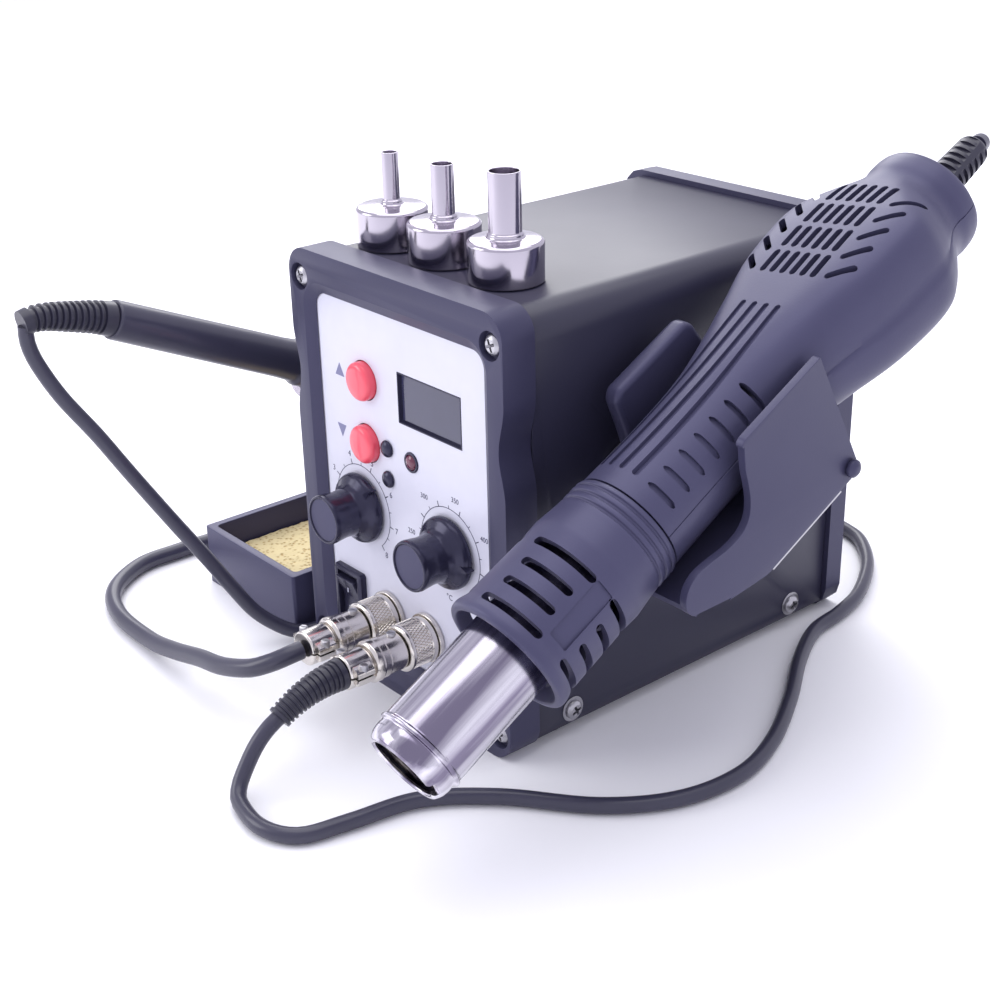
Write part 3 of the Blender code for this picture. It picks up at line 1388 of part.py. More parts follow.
def make_cradle(finish, metal, frame):
    """The moulded cradle: a flat outer plate with a finger cut-out, a saddle and an inner ear."""
    inner_face = cradle_half_gap
    outer_face = cradle_half_gap + cradle_outer_wall
    wing = [(cradle_rear, cradle_top - 1.5 * mm), (cradle_rear - 1.5 * mm, cradle_top),
            (117 * mm, cradle_top), (115.6 * mm, cradle_top - 1.2 * mm)]
    # The finger cut-out runs down the wing, round its hollow and out along the front lobe
    hollow = [(114.6, 7), (113.2, 2.5), (112.4, -2), (111.2, -6), (108.6, -9.2), (104.6, -10.6),
              (99, -10.2), (93, -8.6), (87.6, -7.8), (83.6, -8.6), (80.8, -11), (79.5, -14.6),
              (80.4, -17.4)]
    lower = [(92 * mm, -24.2 * mm), (107 * mm, skirt_low), (cradle_rear - 1 * mm, skirt_low),
             (cradle_rear, skirt_low + 1 * mm)]
    outline = wing + [(y * mm, z * mm) for y, z in hollow] + lower
    shape = bmesh.new()
    prism(shape, outline, inner_face, outer_face, "X")
    cradle = make_object("handle_cradle", shape, finish, frame)
    saddle = bmesh.new()
    ear_face = -cradle_half_gap
    top = [(82 * mm, cradle_floor + 0.3 * mm), (100 * mm, cradle_floor + 1.3 * mm),
           (128 * mm, cradle_floor + 1.3 * mm), (140 * mm, cradle_floor + 0.2 * mm),
           (cradle_rear, cradle_floor - 1 * mm)]
    under = [(y, z - saddle_wall) for y, z in top[::-1]]
    prism(saddle, top + under, ear_face - 1 * mm, inner_face + 1 * mm, "X")
    cut(cradle, saddle, "cradle_saddle", frame, operation="UNION")
    ear = bmesh.new()
    ear_outer = ear_face - cradle_ear
    prism(ear, [(148.5 * mm, 6 * mm), (147 * mm, ear_top - 2 * mm), (145 * mm, ear_top),
                (116 * mm, ear_top), (114 * mm, ear_top - 2 * mm), (113 * mm, 6 * mm),
                (110 * mm, -14 * mm), (98 * mm, skirt_low + 6 * mm), (100 * mm, skirt_low),
                (cradle_rear, skirt_low), (cradle_rear, -14 * mm)],
          ear_outer, ear_face, "X")
    cut(cradle, ear, "cradle_ear", frame, operation="UNION")
    stud = bmesh.new()
    turned(stud, [(0, outer_face - 1 * mm), (stud_radius, outer_face - 1 * mm),
                  (1.1 * stud_radius, outer_face + 1.4 * mm),
                  (0.6 * stud_radius, outer_face + 2.6 * mm), (0, outer_face + 2.8 * mm)], 12, "X",
           Matrix.Translation((0, cradle_rear - 3.4 * mm, skirt_low + 3.6 * mm)))
    cut(cradle, stud, "cradle_stud", frame, operation="UNION")
    shape = bmesh.new()
    side = station_side_x() + touch_gap
    flat = skirt_low - touch_gap
    prism(shape, [(side, flat), (side, flat - bracket_wall), (outer_face - 1 * mm, flat - bracket_wall),
                  (outer_face - 1 * mm, flat)], bracket_front, bracket_rear, "Y")
    bracket = make_object("cradle_bracket", shape, metal, frame)
    plate = bmesh.new()
    block(plate, (side, bracket_front, flat - bracket_wall),
          (side + bracket_wall, bracket_rear, bracket_top))
    cut(bracket, plate, "bracket_plate", frame, operation="UNION")
    holes = bmesh.new()
    for along, up in cradle_screw_spots():
        turned(holes, [(0, -3 * mm), (screw_hole_radius, -3 * mm), (screw_hole_radius, 4 * mm),
                       (0, 4 * mm)], 10, "X", Matrix.Translation((side, along, up)))
    cut(bracket, holes, "bracket_hole_cutter", frame)
    seat = side + bracket_wall + touch_gap
    for name, (along, up) in zip(("front", "rear"), cradle_screw_spots()):
        shape = bmesh.new()
        screw(shape, Matrix.Rotation(math.pi / 2, 4, "Y"), 5 * mm, 2.6 * mm)
        make_object("cradle_screw_" + name, shape, metal, frame, (seat, along, up))


# Soldering iron. In its own frame Y runs down into the holder and Z is up

def make_iron(grip, metal, frame):
    """The iron: handle, barrel with its nut, and tip."""
    back = -iron_handle_back
    shape = bmesh.new()
    turned(shape, [(0, back), (iron_handle_tail_radius - 0.6 * mm, back),
                   (iron_handle_tail_radius, back + 0.8 * mm),
                   (iron_handle_radius, -14 * mm), (iron_handle_radius + 0.3 * mm, -8 * mm),
                   (iron_collar_radius, -6 * mm), (iron_collar_radius, 4 * mm),
                   (iron_collar_radius - 1.1 * mm, 6 * mm),
                   (iron_handle_radius - 0.4 * mm, iron_handle_front),
                   (0, iron_handle_front)], 20, "Y")
    make_object("iron_handle", shape, grip, frame)
    start = iron_handle_front + touch_gap
    shape = bmesh.new()
    nut = barrel_nut_radius
    step = start + barrel_nut_length
    chamfer = 0.6 * mm
    turned(shape, [(0, start), (nut, start), (nut, step), (nut - 1.7 * mm, step + 2 * mm),
                   (barrel_radius, step + 2.4 * mm), (barrel_radius, barrel_end),
                   (barrel_radius - chamfer, barrel_end + chamfer),
                   (0, barrel_end + chamfer)], 14, "Y")
    make_object("iron_barrel", shape, metal, frame)
    shape = bmesh.new()
    bit = barrel_end + chamfer + touch_gap
    turned(shape, [(0, bit), (tip_radius, bit), (tip_radius, bit + 6 * mm),
                   (tip_radius / 6, tip_end), (0, tip_end)], 12, "Y")
    make_object("iron_tip", shape, metal, frame)


iron_boot_route = [(0, -74.9, 0), (0, -83, 0.3), (0, -91, 0), (0, -98, -2.2), (0, -102.4, -6),
                   (0, -103.8, -10.2)]


def make_iron_boot(rubber, frame):
    """The ribbed boot of the iron, bent over by its cord."""
    path = smooth_path([[c * mm for c in p] for p in iron_boot_route], 3.2 * mm)
    radii = []
    for k in range(len(path)):
        share = k / (len(path) - 1)
        outer = iron_boot_radius * (1 - 0.245 * share)
        radii.append(outer if k % 2 == 0 else outer - boot_groove)
    shape = bmesh.new()
    swept(shape, path, radii, 8, iron_cord_diameter / 2 + touch_gap)
    make_object("iron_boot", shape, rubber, frame)


def make_holder(metal, frame):
    """The open tube that the iron rests in, on a bent steel bracket."""
    bore = holder_bore
    shape = bmesh.new()
    rim = bore + holder_rim
    turned(shape, [(bore, 0), (rim, 0), (rim, 2 * mm), (bore + holder_wall, holder_rim),
                   (bore + holder_wall, holder_length), (bore, holder_length)], 20, "Y")
    holder = make_object("iron_holder", shape, metal, frame)
    deck = stand_height + touch_gap
    plate = holder_plate
    y0 = holder_leg_y
    half = holder_foot_half_width
    legs = bmesh.new()
    prism(legs, [(y0 - 14 * mm, deck), (y0 + 16 * mm, deck), (y0 + 16 * mm, deck + plate),
                 (y0 + plate, deck + plate), (y0 + plate, holder_under_z(y0 + plate) + 1 * mm),
                 (y0, holder_under_z(y0) + 1 * mm), (y0, deck + plate),
                 (y0 - 14 * mm, deck + plate)], iron_x - half, iron_x + half, "X")
    cut(holder, legs, "holder_bracket", operation="UNION")


def holder_under_z(y):
    """The height of the holder tube's underside at a place along Y."""
    slope = math.tan(iron_tilt)
    centre = holder_mouth_z - (y - holder_mouth_y) * slope
    return centre - (holder_bore + holder_wall) / math.cos(iron_tilt)


def make_stand(finish, sponge):
    """The iron's stand: a moulded tray for the sponge in front, and a deck for the holder."""
    back = stand_front + stand_depth
    shape = bmesh.new()
    outline = rounded_box_outline(stand_left, stand_right, stand_front, back, stand_corner)
    inner_corner = stand_corner - 2 * mm
    prism(shape, outline, 0, stand_height)
    stand = make_object("stand_base", shape, finish)
    w = stand_wall
    tray = bmesh.new()
    prism(tray, rounded_box_outline(stand_left + w, stand_right - w, stand_front + w,
                                    stand_front + tray_depth, inner_corner),
          stand_floor, stand_height + stand_floor)
    cut(stand, tray, "tray_cutter")
    under = bmesh.new()
    prism(under, rounded_box_outline(stand_left + w, stand_right - w,
                                     stand_front + tray_depth + w, back - w, inner_corner),
          -stand_floor, stand_height - stand_floor)
    cut(stand, under, "under_deck_cutter")
    shape = bmesh.new()
    fit = sponge_fit
    prism(shape, rounded_box_outline(stand_left + w + fit, stand_right - w - fit,
                                     stand_front + w + fit, stand_front + tray_depth - fit,
                                     inner_corner),
          stand_floor + touch_gap, stand_floor + sponge_height)
    make_object("sponge", shape, sponge)


# Cords. Each route's points are in millimetres, with Y from the bezel's front face

def make_cord(name, route, diameter, finish):
    """A plain round cord along a smooth curve through its route."""
    knots = [(x * mm, y * mm + front_y, z * mm) for x, y, z in route]
    path = smooth_path(knots, 3.2 * diameter)
    data = bpy.data.curves.new(name, "CURVE")
    data.dimensions = "3D"
    data.bevel_depth = diameter / 2
    data.bevel_resolution = 2
    data.use_fill_caps = True
    spline = data.splines.new("POLY")
    spline.points.add(len(path) - 1)
    for point, place in zip(spline.points, path):
        point.co = (*place, 1.0)
    data.materials.append(finish)
    made = bpy.data.objects.new(name, data)
    bpy.context.scene.collection.objects.link(made)
    return made


hot_air_cord_route = [
    (-10, -31.4, 26), (-10.6, -35.5, 25.5), (-13.6, -39.6, 23.4), (-20.4, -43.6, 20),
    (-34, -45.5, 15.6), (-49, -45, 12), (-66, -44.8, 7.4), (-83, -44.5, 4.2),
    (-107.7, -42.7, 3.1), (-125.8, -34.9, 3.1), (-137.4, -18.5, 3.1), (-138.5, -2, 3.1),
    (-137, 20, 3.1), (-134, 60, 3.1), (-131, 105, 3.1), (-122, 150, 3.1), (-98, 188, 3.1),
    (-64, 209, 3.2), (-34, 211, 5), (-14, 205, 12), (-5, 198, 27), (5, 193, 48.5),
    (19.3, 192, 78.7), (35.5, 191, 111.4), (51.7, 187, 139), (63.9, 179, 151), (72.5, 171.8, 159.4),
    (78, 166.6, 164.2), (81.2, 162.2, 164.8), (82, 157.9, 162.8)]
iron_cord_route = [
    (9.5, -51.7, 20.7), (9.5, -56.5, 18.2), (9.6, -61, 14.4), (9.9, -65.2, 9), (11.8, -69.3, 4.4),
    (16.8, -71.8, 2.6), (29.7, -73.2, 2.6), (39.8, -67.5, 2.6), (43.7, -53.5, 2.6),
    (48.4, -32.6, 2.6), (62.5, -14.8, 2.6), (84.5, 3.1, 2.6), (97.1, 22.2, 2.6),
    (100.4, 43.5, 2.6), (95.1, 63.4, 2.6), (83.2, 85.5, 2.6), (69.2, 106.7, 2.6),
    (60, 125, 2.6), (57.5, 141, 2.6), (53, 157, 2.6), (42, 176, 2.6), (29.5, 189, 2.6),
    (19.6, 194.1, 2.6), (2, 196, 2.6), (-22, 190, 2.6), (-42, 174, 2.6), (-53, 150, 2.6),
    (-54.2, 118, 2.6), (-54.2, 84, 2.6), (-54.2, 50, 2.6), (-54.2, 20, 2.6), (-54.2, -0.3, 2.6),
    (-56.2, -7.2, 3.2), (-59, -12.5, 9.9)]
iron_cord_rise_route = [
    (-59.23, -12.94, 10.46), (-64, -22, 22), (-70, -28.8, 44.2), (-75, -37.3, 71.5),
    (-80, -49.7, 90.3), (-83, -60, 101.5), (-84.6, -68, 107.6)]


def rise_end(frame_matrix):
    """The last points of the iron's cord, which turn into the end of its boot."""
    end = [c * mm for c in iron_boot_route[-1]]
    before = [c * mm for c in iron_boot_route[-2]]
    tip = frame_matrix @ Vector(end)
    along = (tip - frame_matrix @ Vector(before)).normalized()
    return tip, along


def make_cords(finish, iron_frame_matrix):
    """The station's two cords. The iron's cord is split where it starts to follow the iron."""
    make_cord("hot_air_cord", hot_air_cord_route, hot_air_cord_diameter, finish)
    make_cord("iron_cord", iron_cord_route, iron_cord_diameter, finish)
    tip, along = rise_end(iron_frame_matrix)
    tip.y -= front_y
    last = [tuple((tip + along * reach) / mm) for reach in (4 * mm, 2 * touch_gap)]
    make_cord("iron_cord_rise", iron_cord_rise_route + last, iron_cord_diameter, finish)


def main():
    for old in list(bpy.data.objects):
        bpy.data.objects.remove(old, do_unlink=True)
    m = make_materials()
    make_bezel(m["black_abs"])
    make_panel(m["white_panel"])
    make_rear_frame(m["black_abs"])
    make_rear_panel(m["textured_steel"])
    make_mains_inlet(m["gloss_black"])
    make_cover(m["textured_steel"])
    make_base(m["textured_steel"])
    make_front_screws(m["zinc"])
    make_display(m["dark_glass"], m["circuit_green"])
    make_buttons(m["red_button"])
    make_small_panel_parts(m["gloss_black"], m["red_lens"])
    make_knobs(m["gloss_black"])
    make_switch(m["gloss_black"])
    make_sockets(m["nickel"])
    make_plug_boot(m["black_rubber"])
    make_transformer(m["zinc"], m["brass"])
    make_nozzles(m["steel"], m["black_abs"])
    handle_frame = make_frame("handle_frame", (handle_x, handle_tip_y, handle_tip_z),
                              (handle_tilt, 0, 0))
    make_handle_shells(m["soft_black"], handle_frame)
    make_heater(m["steel"], m["ceramic"], handle_frame)
    make_guard(m["soft_black"], handle_frame)
    make_blower(m["white_abs"], handle_frame)
    make_handle_boot(m["black_rubber"], handle_frame)
    make_cradle(m["black_abs"], m["zinc"], handle_frame)
    iron_frame = make_frame("iron_frame", (iron_x, holder_mouth_y, holder_mouth_z),
                            (-iron_tilt, 0, 0))
    make_iron(m["gloss_black"], m["steel"], iron_frame)
    make_iron_boot(m["black_rubber"], iron_frame)
    make_holder(m["steel"], iron_frame)
    make_stand(m["black_abs"], m["sponge"])
    bpy.context.view_layer.update()
    make_cords(m["cord_black"], iron_frame.matrix_world)


main()
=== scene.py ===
# %% [markdown]
# A hot air rework station stands on a bench: a steel box with a plastic frame at each end, a hot air
# handle lying in a cradle on its right side, and a soldering iron in a stand on its left. The solids
# of the part are loaded as a fixed frame, and each piece that shows is then dressed or rebuilt finely
# in the same place.

# %% Load the frame
import json
import math

import bmesh
import bpy
from mathutils import Matrix, Vector, noise


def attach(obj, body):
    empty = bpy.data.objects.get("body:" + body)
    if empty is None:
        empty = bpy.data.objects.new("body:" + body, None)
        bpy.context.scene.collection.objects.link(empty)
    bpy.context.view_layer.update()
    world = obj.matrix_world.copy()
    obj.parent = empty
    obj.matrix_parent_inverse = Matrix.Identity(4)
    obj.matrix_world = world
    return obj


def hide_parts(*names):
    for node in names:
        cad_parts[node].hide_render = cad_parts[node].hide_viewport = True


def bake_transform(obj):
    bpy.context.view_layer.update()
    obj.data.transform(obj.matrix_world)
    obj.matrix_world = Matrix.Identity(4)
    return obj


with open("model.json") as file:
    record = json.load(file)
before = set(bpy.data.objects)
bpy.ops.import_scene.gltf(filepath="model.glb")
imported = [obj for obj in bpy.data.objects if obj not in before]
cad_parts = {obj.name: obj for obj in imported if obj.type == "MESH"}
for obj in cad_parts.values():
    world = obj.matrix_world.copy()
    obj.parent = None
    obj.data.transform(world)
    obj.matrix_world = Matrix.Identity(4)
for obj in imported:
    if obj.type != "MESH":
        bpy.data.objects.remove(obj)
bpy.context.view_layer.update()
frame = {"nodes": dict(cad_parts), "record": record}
nodes = frame["nodes"]
mm = 0.001
full_turn = 2 * math.pi
print("nodes in the frame:", len(nodes))

# %% [markdown]
# The photograph was taken from the front right and a little above, with a short telephoto lens. The
# camera stands where the lines of the station's box meet those of the photograph, and it is rolled by
# a degree, as the photograph is.

# %% Camera
camera_place = Vector((0.3604, -0.26625, 0.2704))
camera_azimuth = math.radians(50.2)
camera_elevation = math.radians(24.46)
camera_roll = math.radians(-1.31)
camera_lens = 58.83


def camera_turn(azimuth, elevation, roll):
    """The camera's rotation, from where it looks and how far it is rolled."""
    back = Vector((math.sin(azimuth) * math.cos(elevation),
                   -math.cos(azimuth) * math.cos(elevation), math.sin(elevation)))
    right = (-back).cross(Vector((0, 0, 1))).normalized()
    up = right.cross(-back)
    rolled_right = math.cos(roll) * right + math.sin(roll) * up
    rolled_up = math.cos(roll) * up - math.sin(roll) * right
    return Matrix((rolled_right, rolled_up, back)).transposed()


camera_data = bpy.data.cameras.new("photo_camera")
camera_data.lens = camera_lens
camera_data.sensor_width = 36
camera_data.clip_start = 0.01
camera = bpy.data.objects.new("photo_camera", camera_data)
turn = camera_turn(camera_azimuth, camera_elevation, camera_roll)
camera.matrix_world = Matrix.Translation(camera_place) @ turn.to_4x4()
bpy.context.scene.collection.objects.link(camera)
bpy.context.scene.camera = camera
bpy.context.scene.view_settings.view_transform = "Standard"

# %% [markdown]
# Every finish starts from a colour that is written as it looks on a screen, so one function turns it
# to the linear light that the shader expects. A second function adds one node to a material, with its
# settings and its links, and all the materials below are built with it.

# %% Helpers for materials


def linear(code, alpha=1.0):
    """A colour of six hex digits as linear light."""
    channels = []
    for start in (0, 2, 4):
        value = int(code[start:start + 2], 16) / 255
        channels.append(value / 12.92 if value <= 0.04045 else ((value + 0.055) / 1.055) ** 2.4)
    return (*channels, alpha)


def add_node(tree, kind, settings=None, links=None):
    """Add one node, set its properties or sockets by name, and link its inputs."""
    node = tree.nodes.new(kind)
    for name, value in (settings or {}).items():
        if isinstance(name, str) and hasattr(node, name):
            setattr(node, name, value)
        else:
            node.inputs[name].default_value = value
    for name, source in (links or {}).items():
        tree.links.new(source, node.inputs[name])
    return node


def start_material(name, colour, roughness, metallic=0.0, coat=0.0):
    """A material with its Principled shader set, and Object coordinates to hang patterns on."""
    made = bpy.data.materials.new(name)
    made.use_nodes = True
    tree = made.node_tree
    shader = tree.nodes["Principled BSDF"]
    shader.inputs["Base Color"].default_value = linear(colour)
    shader.inputs["Roughness"].default_value = roughness
    shader.inputs["Metallic"].default_value = metallic
    shader.inputs["Coat Weight"].default_value = coat
    where = add_node(tree, "ShaderNodeTexCoord")
    return made, tree, shader, where.outputs["Object"]


def per_mm(size):
    """The scale of a pattern on Object coordinates whose grain is this many millimetres."""
    return 1 / (size * mm)


# %% [markdown]
# The frames, the stand and the cradle are moulded in ABS, in spark-eroded moulds, which leave a fine
# even grain. The grain is a small bump, and a slow change of roughness stands for handling.

# %% Moulded plastics


def moulded_plastic(name, colour, light_colour, roughness, grain, depth):
    """A matt moulded plastic: fine grain, slight patches of polish and of colour."""
    made, tree, shader, place = start_material(name, colour, roughness)
    cloud = add_node(tree, "ShaderNodeTexNoise", {"Scale": per_mm(22), "Detail": 3.0},
                     {"Vector": place})
    tint = add_node(tree, "ShaderNodeMix", {"data_type": "RGBA", 6: linear(colour),
                                            7: linear(light_colour)},
                    {0: cloud.outputs["Fac"]})
    polish = add_node(tree, "ShaderNodeMapRange", {"To Min": roughness - 0.05,
                                                   "To Max": roughness + 0.06},
                      {"Value": cloud.outputs["Fac"]})
    pits = add_node(tree, "ShaderNodeTexNoise", {"Scale": per_mm(grain), "Detail": 2.0},
                    {"Vector": place})
    bump = add_node(tree, "ShaderNodeBump", {"Strength": 0.35, "Distance": depth * mm},
                    {"Height": pits.outputs["Fac"]})
    # The lavender specular tint is a painted tint of the tent's violet light in every reflection of
    # these plastics
    shader.inputs["Specular Tint"].default_value = linear("dcdaff")
    tree.links.new(tint.outputs[2], shader.inputs["Base Color"])
    tree.links.new(polish.outputs["Result"], shader.inputs["Roughness"])
    tree.links.new(bump.outputs["Normal"], shader.inputs["Normal"])
    return made


frame_abs = moulded_plastic("moulded_abs_frame", "353449", "3c3b52", 0.42, 0.5, 0.05)
handle_abs = moulded_plastic("moulded_abs_handle", "403f57", "484760", 0.40, 0.6, 0.05)
cradle_abs = moulded_plastic("moulded_abs_cradle", "38374e", "403f57", 0.36, 0.6, 0.05)
stand_abs = moulded_plastic("moulded_abs_stand", "3b3a52", "43425b", 0.40, 0.6, 0.05)
glossy_abs = moulded_plastic("glossy_abs_fittings", "222131", "29283a", 0.2, 0.9, 0.01)
satin_disc = moulded_plastic("satin_knob_disc", "3c3b52", "43425a", 0.5, 0.4, 0.01)
blower_abs = moulded_plastic("white_abs_blower", "dcdce4", "e2e2e8", 0.45, 0.8, 0.02)

# %% [markdown]
# The cover and the base are steel sheet with a black powder coat. The powder melts into a skin with a
# shallow orange peel, a little glossier than the plastics beside it.

# %% Powder coat


def powder_coat():
    """Black powder coat on steel sheet."""
    made, tree, shader, place = start_material("powder_coated_steel", "2e2d40", 0.36)
    peel = add_node(tree, "ShaderNodeTexNoise", {"Scale": per_mm(1.2), "Detail": 1.0},
                    {"Vector": place})
    sheen = add_node(tree, "ShaderNodeTexNoise", {"Scale": per_mm(40), "Detail": 2.0},
                     {"Vector": place})
    rough = add_node(tree, "ShaderNodeMapRange", {"To Min": 0.32, "To Max": 0.42},
                     {"Value": sheen.outputs["Fac"]})
    bump = add_node(tree, "ShaderNodeBump", {"Strength": 0.25, "Distance": 0.05 * mm},
                    {"Height": peel.outputs["Fac"]})
    tree.links.new(rough.outputs["Result"], shader.inputs["Roughness"])
    tree.links.new(bump.outputs["Normal"], shader.inputs["Normal"])
    return made


cover_paint = powder_coat()

# %% [markdown]
# The panel is white lacquered sheet, the buttons are pigmented acrylic, and the display window and
# the heater lamp are tinted acrylic. They are smooth, so their detail is in gloss and faint ripple.

# %% Smooth plastics


def smooth_plastic(name, colour, light_colour, roughness, coat, ripple=0.02):
    """A glossy moulding with a faint ripple in its surface."""
    made, tree, shader, place = start_material(name, colour, roughness, coat=coat)
    wave = add_node(tree, "ShaderNodeTexNoise", {"Scale": per_mm(6), "Detail": 2.0},
                    {"Vector": place})
    tint = add_node(tree, "ShaderNodeMix", {"data_type": "RGBA", 6: linear(colour),
                                            7: linear(light_colour)},
                    {0: wave.outputs["Fac"]})
    bump = add_node(tree, "ShaderNodeBump", {"Strength": 0.2, "Distance": ripple * mm},
                    {"Height": wave.outputs["Fac"]})
    tree.links.new(tint.outputs[2], shader.inputs["Base Color"])
    tree.links.new(bump.outputs["Normal"], shader.inputs["Normal"])
    return made


panel_lacquer = smooth_plastic("white_lacquered_sheet", "d2d2e0", "d8d8e5", 0.32, 0.1, 0.01)
button_acrylic = smooth_plastic("red_acrylic_button", "ef4a5e", "f4596b", 0.3, 0.4)
window_acrylic = smooth_plastic("smoked_acrylic_window", "2a2a48", "30304f", 0.06, 0.5, 0.0)
lamp_acrylic = smooth_plastic("dark_red_lamp_lens", "5a1c38", "6a2440", 0.12, 0.6)
panel_ink = smooth_plastic("dial_ink", "26264a", "2c2c52", 0.5, 0.0)
grey_ink = smooth_plastic("triangle_ink", "77779a", "7e7ea2", 0.5, 0.0)
switch_mark_ink = smooth_plastic("switch_mark_ink", "c9c9dc", "d2d2e4", 0.5, 0.0)

# %% [markdown]
# The bright metals differ in how they were made. The nozzles are spun stainless steel, smooth and
# patchily polished. The heater tube is drawn, with fine lines along it, and its dark and bright
# streaks are painted reflections. The connectors are nickel plate, and brackets and screws are
# zinc plate, which is greyer and rougher.

# %% Metals


def bright_metal(name, colour, roughness, spread, smear):
    """A bare or plated metal whose polish varies in patches of a given size."""
    made, tree, shader, place = start_material(name, colour, roughness, metallic=1.0)
    smudge = add_node(tree, "ShaderNodeTexNoise", {"Scale": per_mm(smear), "Detail": 4.0},
                      {"Vector": place})
    rough = add_node(tree, "ShaderNodeMapRange", {"To Min": roughness - spread,
                                                  "To Max": roughness + spread},
                     {"Value": smudge.outputs["Fac"]})
    lines = add_node(tree, "ShaderNodeTexNoise", {"Scale": per_mm(0.8), "Detail": 2.0},
                     {"Vector": place})
    bump = add_node(tree, "ShaderNodeBump", {"Strength": 0.12, "Distance": 0.02 * mm},
                    {"Height": lines.outputs["Fac"]})
    tree.links.new(rough.outputs["Result"], shader.inputs["Roughness"])
    tree.links.new(bump.outputs["Normal"], shader.inputs["Normal"])
    return made


def drawn_steel(tilt):
    """Drawn stainless tube, its axis lying back by a tilt: fine draw lines, and painted reflection bands
    along it.
    """
    made, tree, shader, place = start_material("drawn_stainless_tube", "bdb7c2", 0.18, metallic=1.0)
    along = add_node(tree, "ShaderNodeMapping",
                     {"vector_type": "TEXTURE", "Rotation": (tilt, 0, 0), "Scale": (1, 24, 1)},
                     {"Vector": place})
    streaks = add_node(tree, "ShaderNodeTexNoise", {"Scale": per_mm(7), "Detail": 5.0},
                       {"Vector": along.outputs["Vector"]})
    # The dark and bright bands in the base colour are painted reflections along the tube; the bump is
    # its draw lines
    painted_reflection_bands = add_node(tree, "ShaderNodeMapRange", {"From Min": 0.36, "From Max": 0.6},
                     {"Value": streaks.outputs["Fac"]})
    tint = add_node(tree, "ShaderNodeMix", {"data_type": "RGBA", 6: linear("7f788c"),
                                            7: linear("eeebf2")}, {0: painted_reflection_bands.outputs["Result"]})
    bump = add_node(tree, "ShaderNodeBump", {"Strength": 0.15, "Distance": 0.02 * mm},
                    {"Height": streaks.outputs["Fac"]})
    tree.links.new(tint.outputs[2], shader.inputs["Base Color"])
    tree.links.new(bump.outputs["Normal"], shader.inputs["Normal"])
    return made


# The handle lies back by this angle, and the streaks of its tube with it
handle_tilt = math.radians(28.6)
tube_steel = drawn_steel(handle_tilt)
spun_steel = bright_metal("spun_stainless_steel", "bdb7c2", 0.16, 0.06, 5)
nickel_plate = bright_metal("nickel_plated_brass", "d8d3cd", 0.2, 0.06, 4)
zinc_plate = bright_metal("zinc_plated_steel", "b9b8bd", 0.34, 0.08, 3)
copper_wire = bright_metal("enamelled_copper", "b07a3a", 0.4, 0.05, 2)

# %% [markdown]
# Cords are soft PVC and the boots are moulded PVC: a dark, slightly waxy skin with a broad highlight.

# %% Cord and boot materials


def soft_vinyl(name, colour, light_colour, roughness, grain):
    """Flexible PVC with a waxy sheen."""
    made, tree, shader, place = start_material(name, colour, roughness, coat=0.1)
    patch = add_node(tree, "ShaderNodeTexNoise", {"Scale": per_mm(9), "Detail": 3.0},
                     {"Vector": place})
    tint = add_node(tree, "ShaderNodeMix", {"data_type": "RGBA", 6: linear(colour),
                                            7: linear(light_colour)},
                    {0: patch.outputs["Fac"]})
    skin = add_node(tree, "ShaderNodeTexNoise", {"Scale": per_mm(grain), "Detail": 2.0},
                    {"Vector": place})
    bump = add_node(tree, "ShaderNodeBump", {"Strength": 0.2, "Distance": 0.03 * mm},
                    {"Height": skin.outputs["Fac"]})
    tree.links.new(tint.outputs[2], shader.inputs["Base Color"])
    tree.links.new(bump.outputs["Normal"], shader.inputs["Normal"])
    return made


cord_vinyl = soft_vinyl("pvc_cord_jacket", "323142", "3a394c", 0.34, 0.7)
boot_vinyl = soft_vinyl("pvc_boot", "272635", "2f2e3f", 0.4, 0.7)

# %% [markdown]
# The sponge is pressed cellulose: a warm straw colour with open pores of about a millimetre.

# %% Sponge, ceramic and board


def cellulose_sponge():
    """Dry cellulose sponge with open pores, painted darker in their depths as shade."""
    made, tree, shader, place = start_material("cellulose_sponge", "e0cb96", 0.95)
    pores = add_node(tree, "ShaderNodeTexVoronoi", {"Scale": per_mm(1.6)}, {"Vector": place})
    edge = add_node(tree, "ShaderNodeMapRange", {"From Min": 0.05, "From Max": 0.45},
                    {"Value": pores.outputs["Distance"]})
    # Each pore goes darker towards its bottom: painted shade in the pores
    tint = add_node(tree, "ShaderNodeMix", {"data_type": "RGBA", 6: linear("b8955a"),
                                            7: linear("ead9a8")},
                    {0: edge.outputs["Result"]})
    bump = add_node(tree, "ShaderNodeBump", {"Strength": 0.8, "Distance": 0.5 * mm},
                    {"Height": edge.outputs["Result"]})
    tree.links.new(tint.outputs[2], shader.inputs["Base Color"])
    tree.links.new(bump.outputs["Normal"], shader.inputs["Normal"])
    return made


sponge_cellulose = cellulose_sponge()
heater_ceramic = moulded_plastic("fired_ceramic", "cfc6b4", "dcd4c4", 0.8, 0.7, 0.05)
board_lacquer = moulded_plastic("green_board_lacquer", "1f5538", "276343", 0.35, 0.5, 0.02)

# %% [markdown]
# Some solids show as they are, such as the rear panel and the holder of the iron. Each solid gets the
# finish of its material here, and the pieces that are built finely below replace theirs.

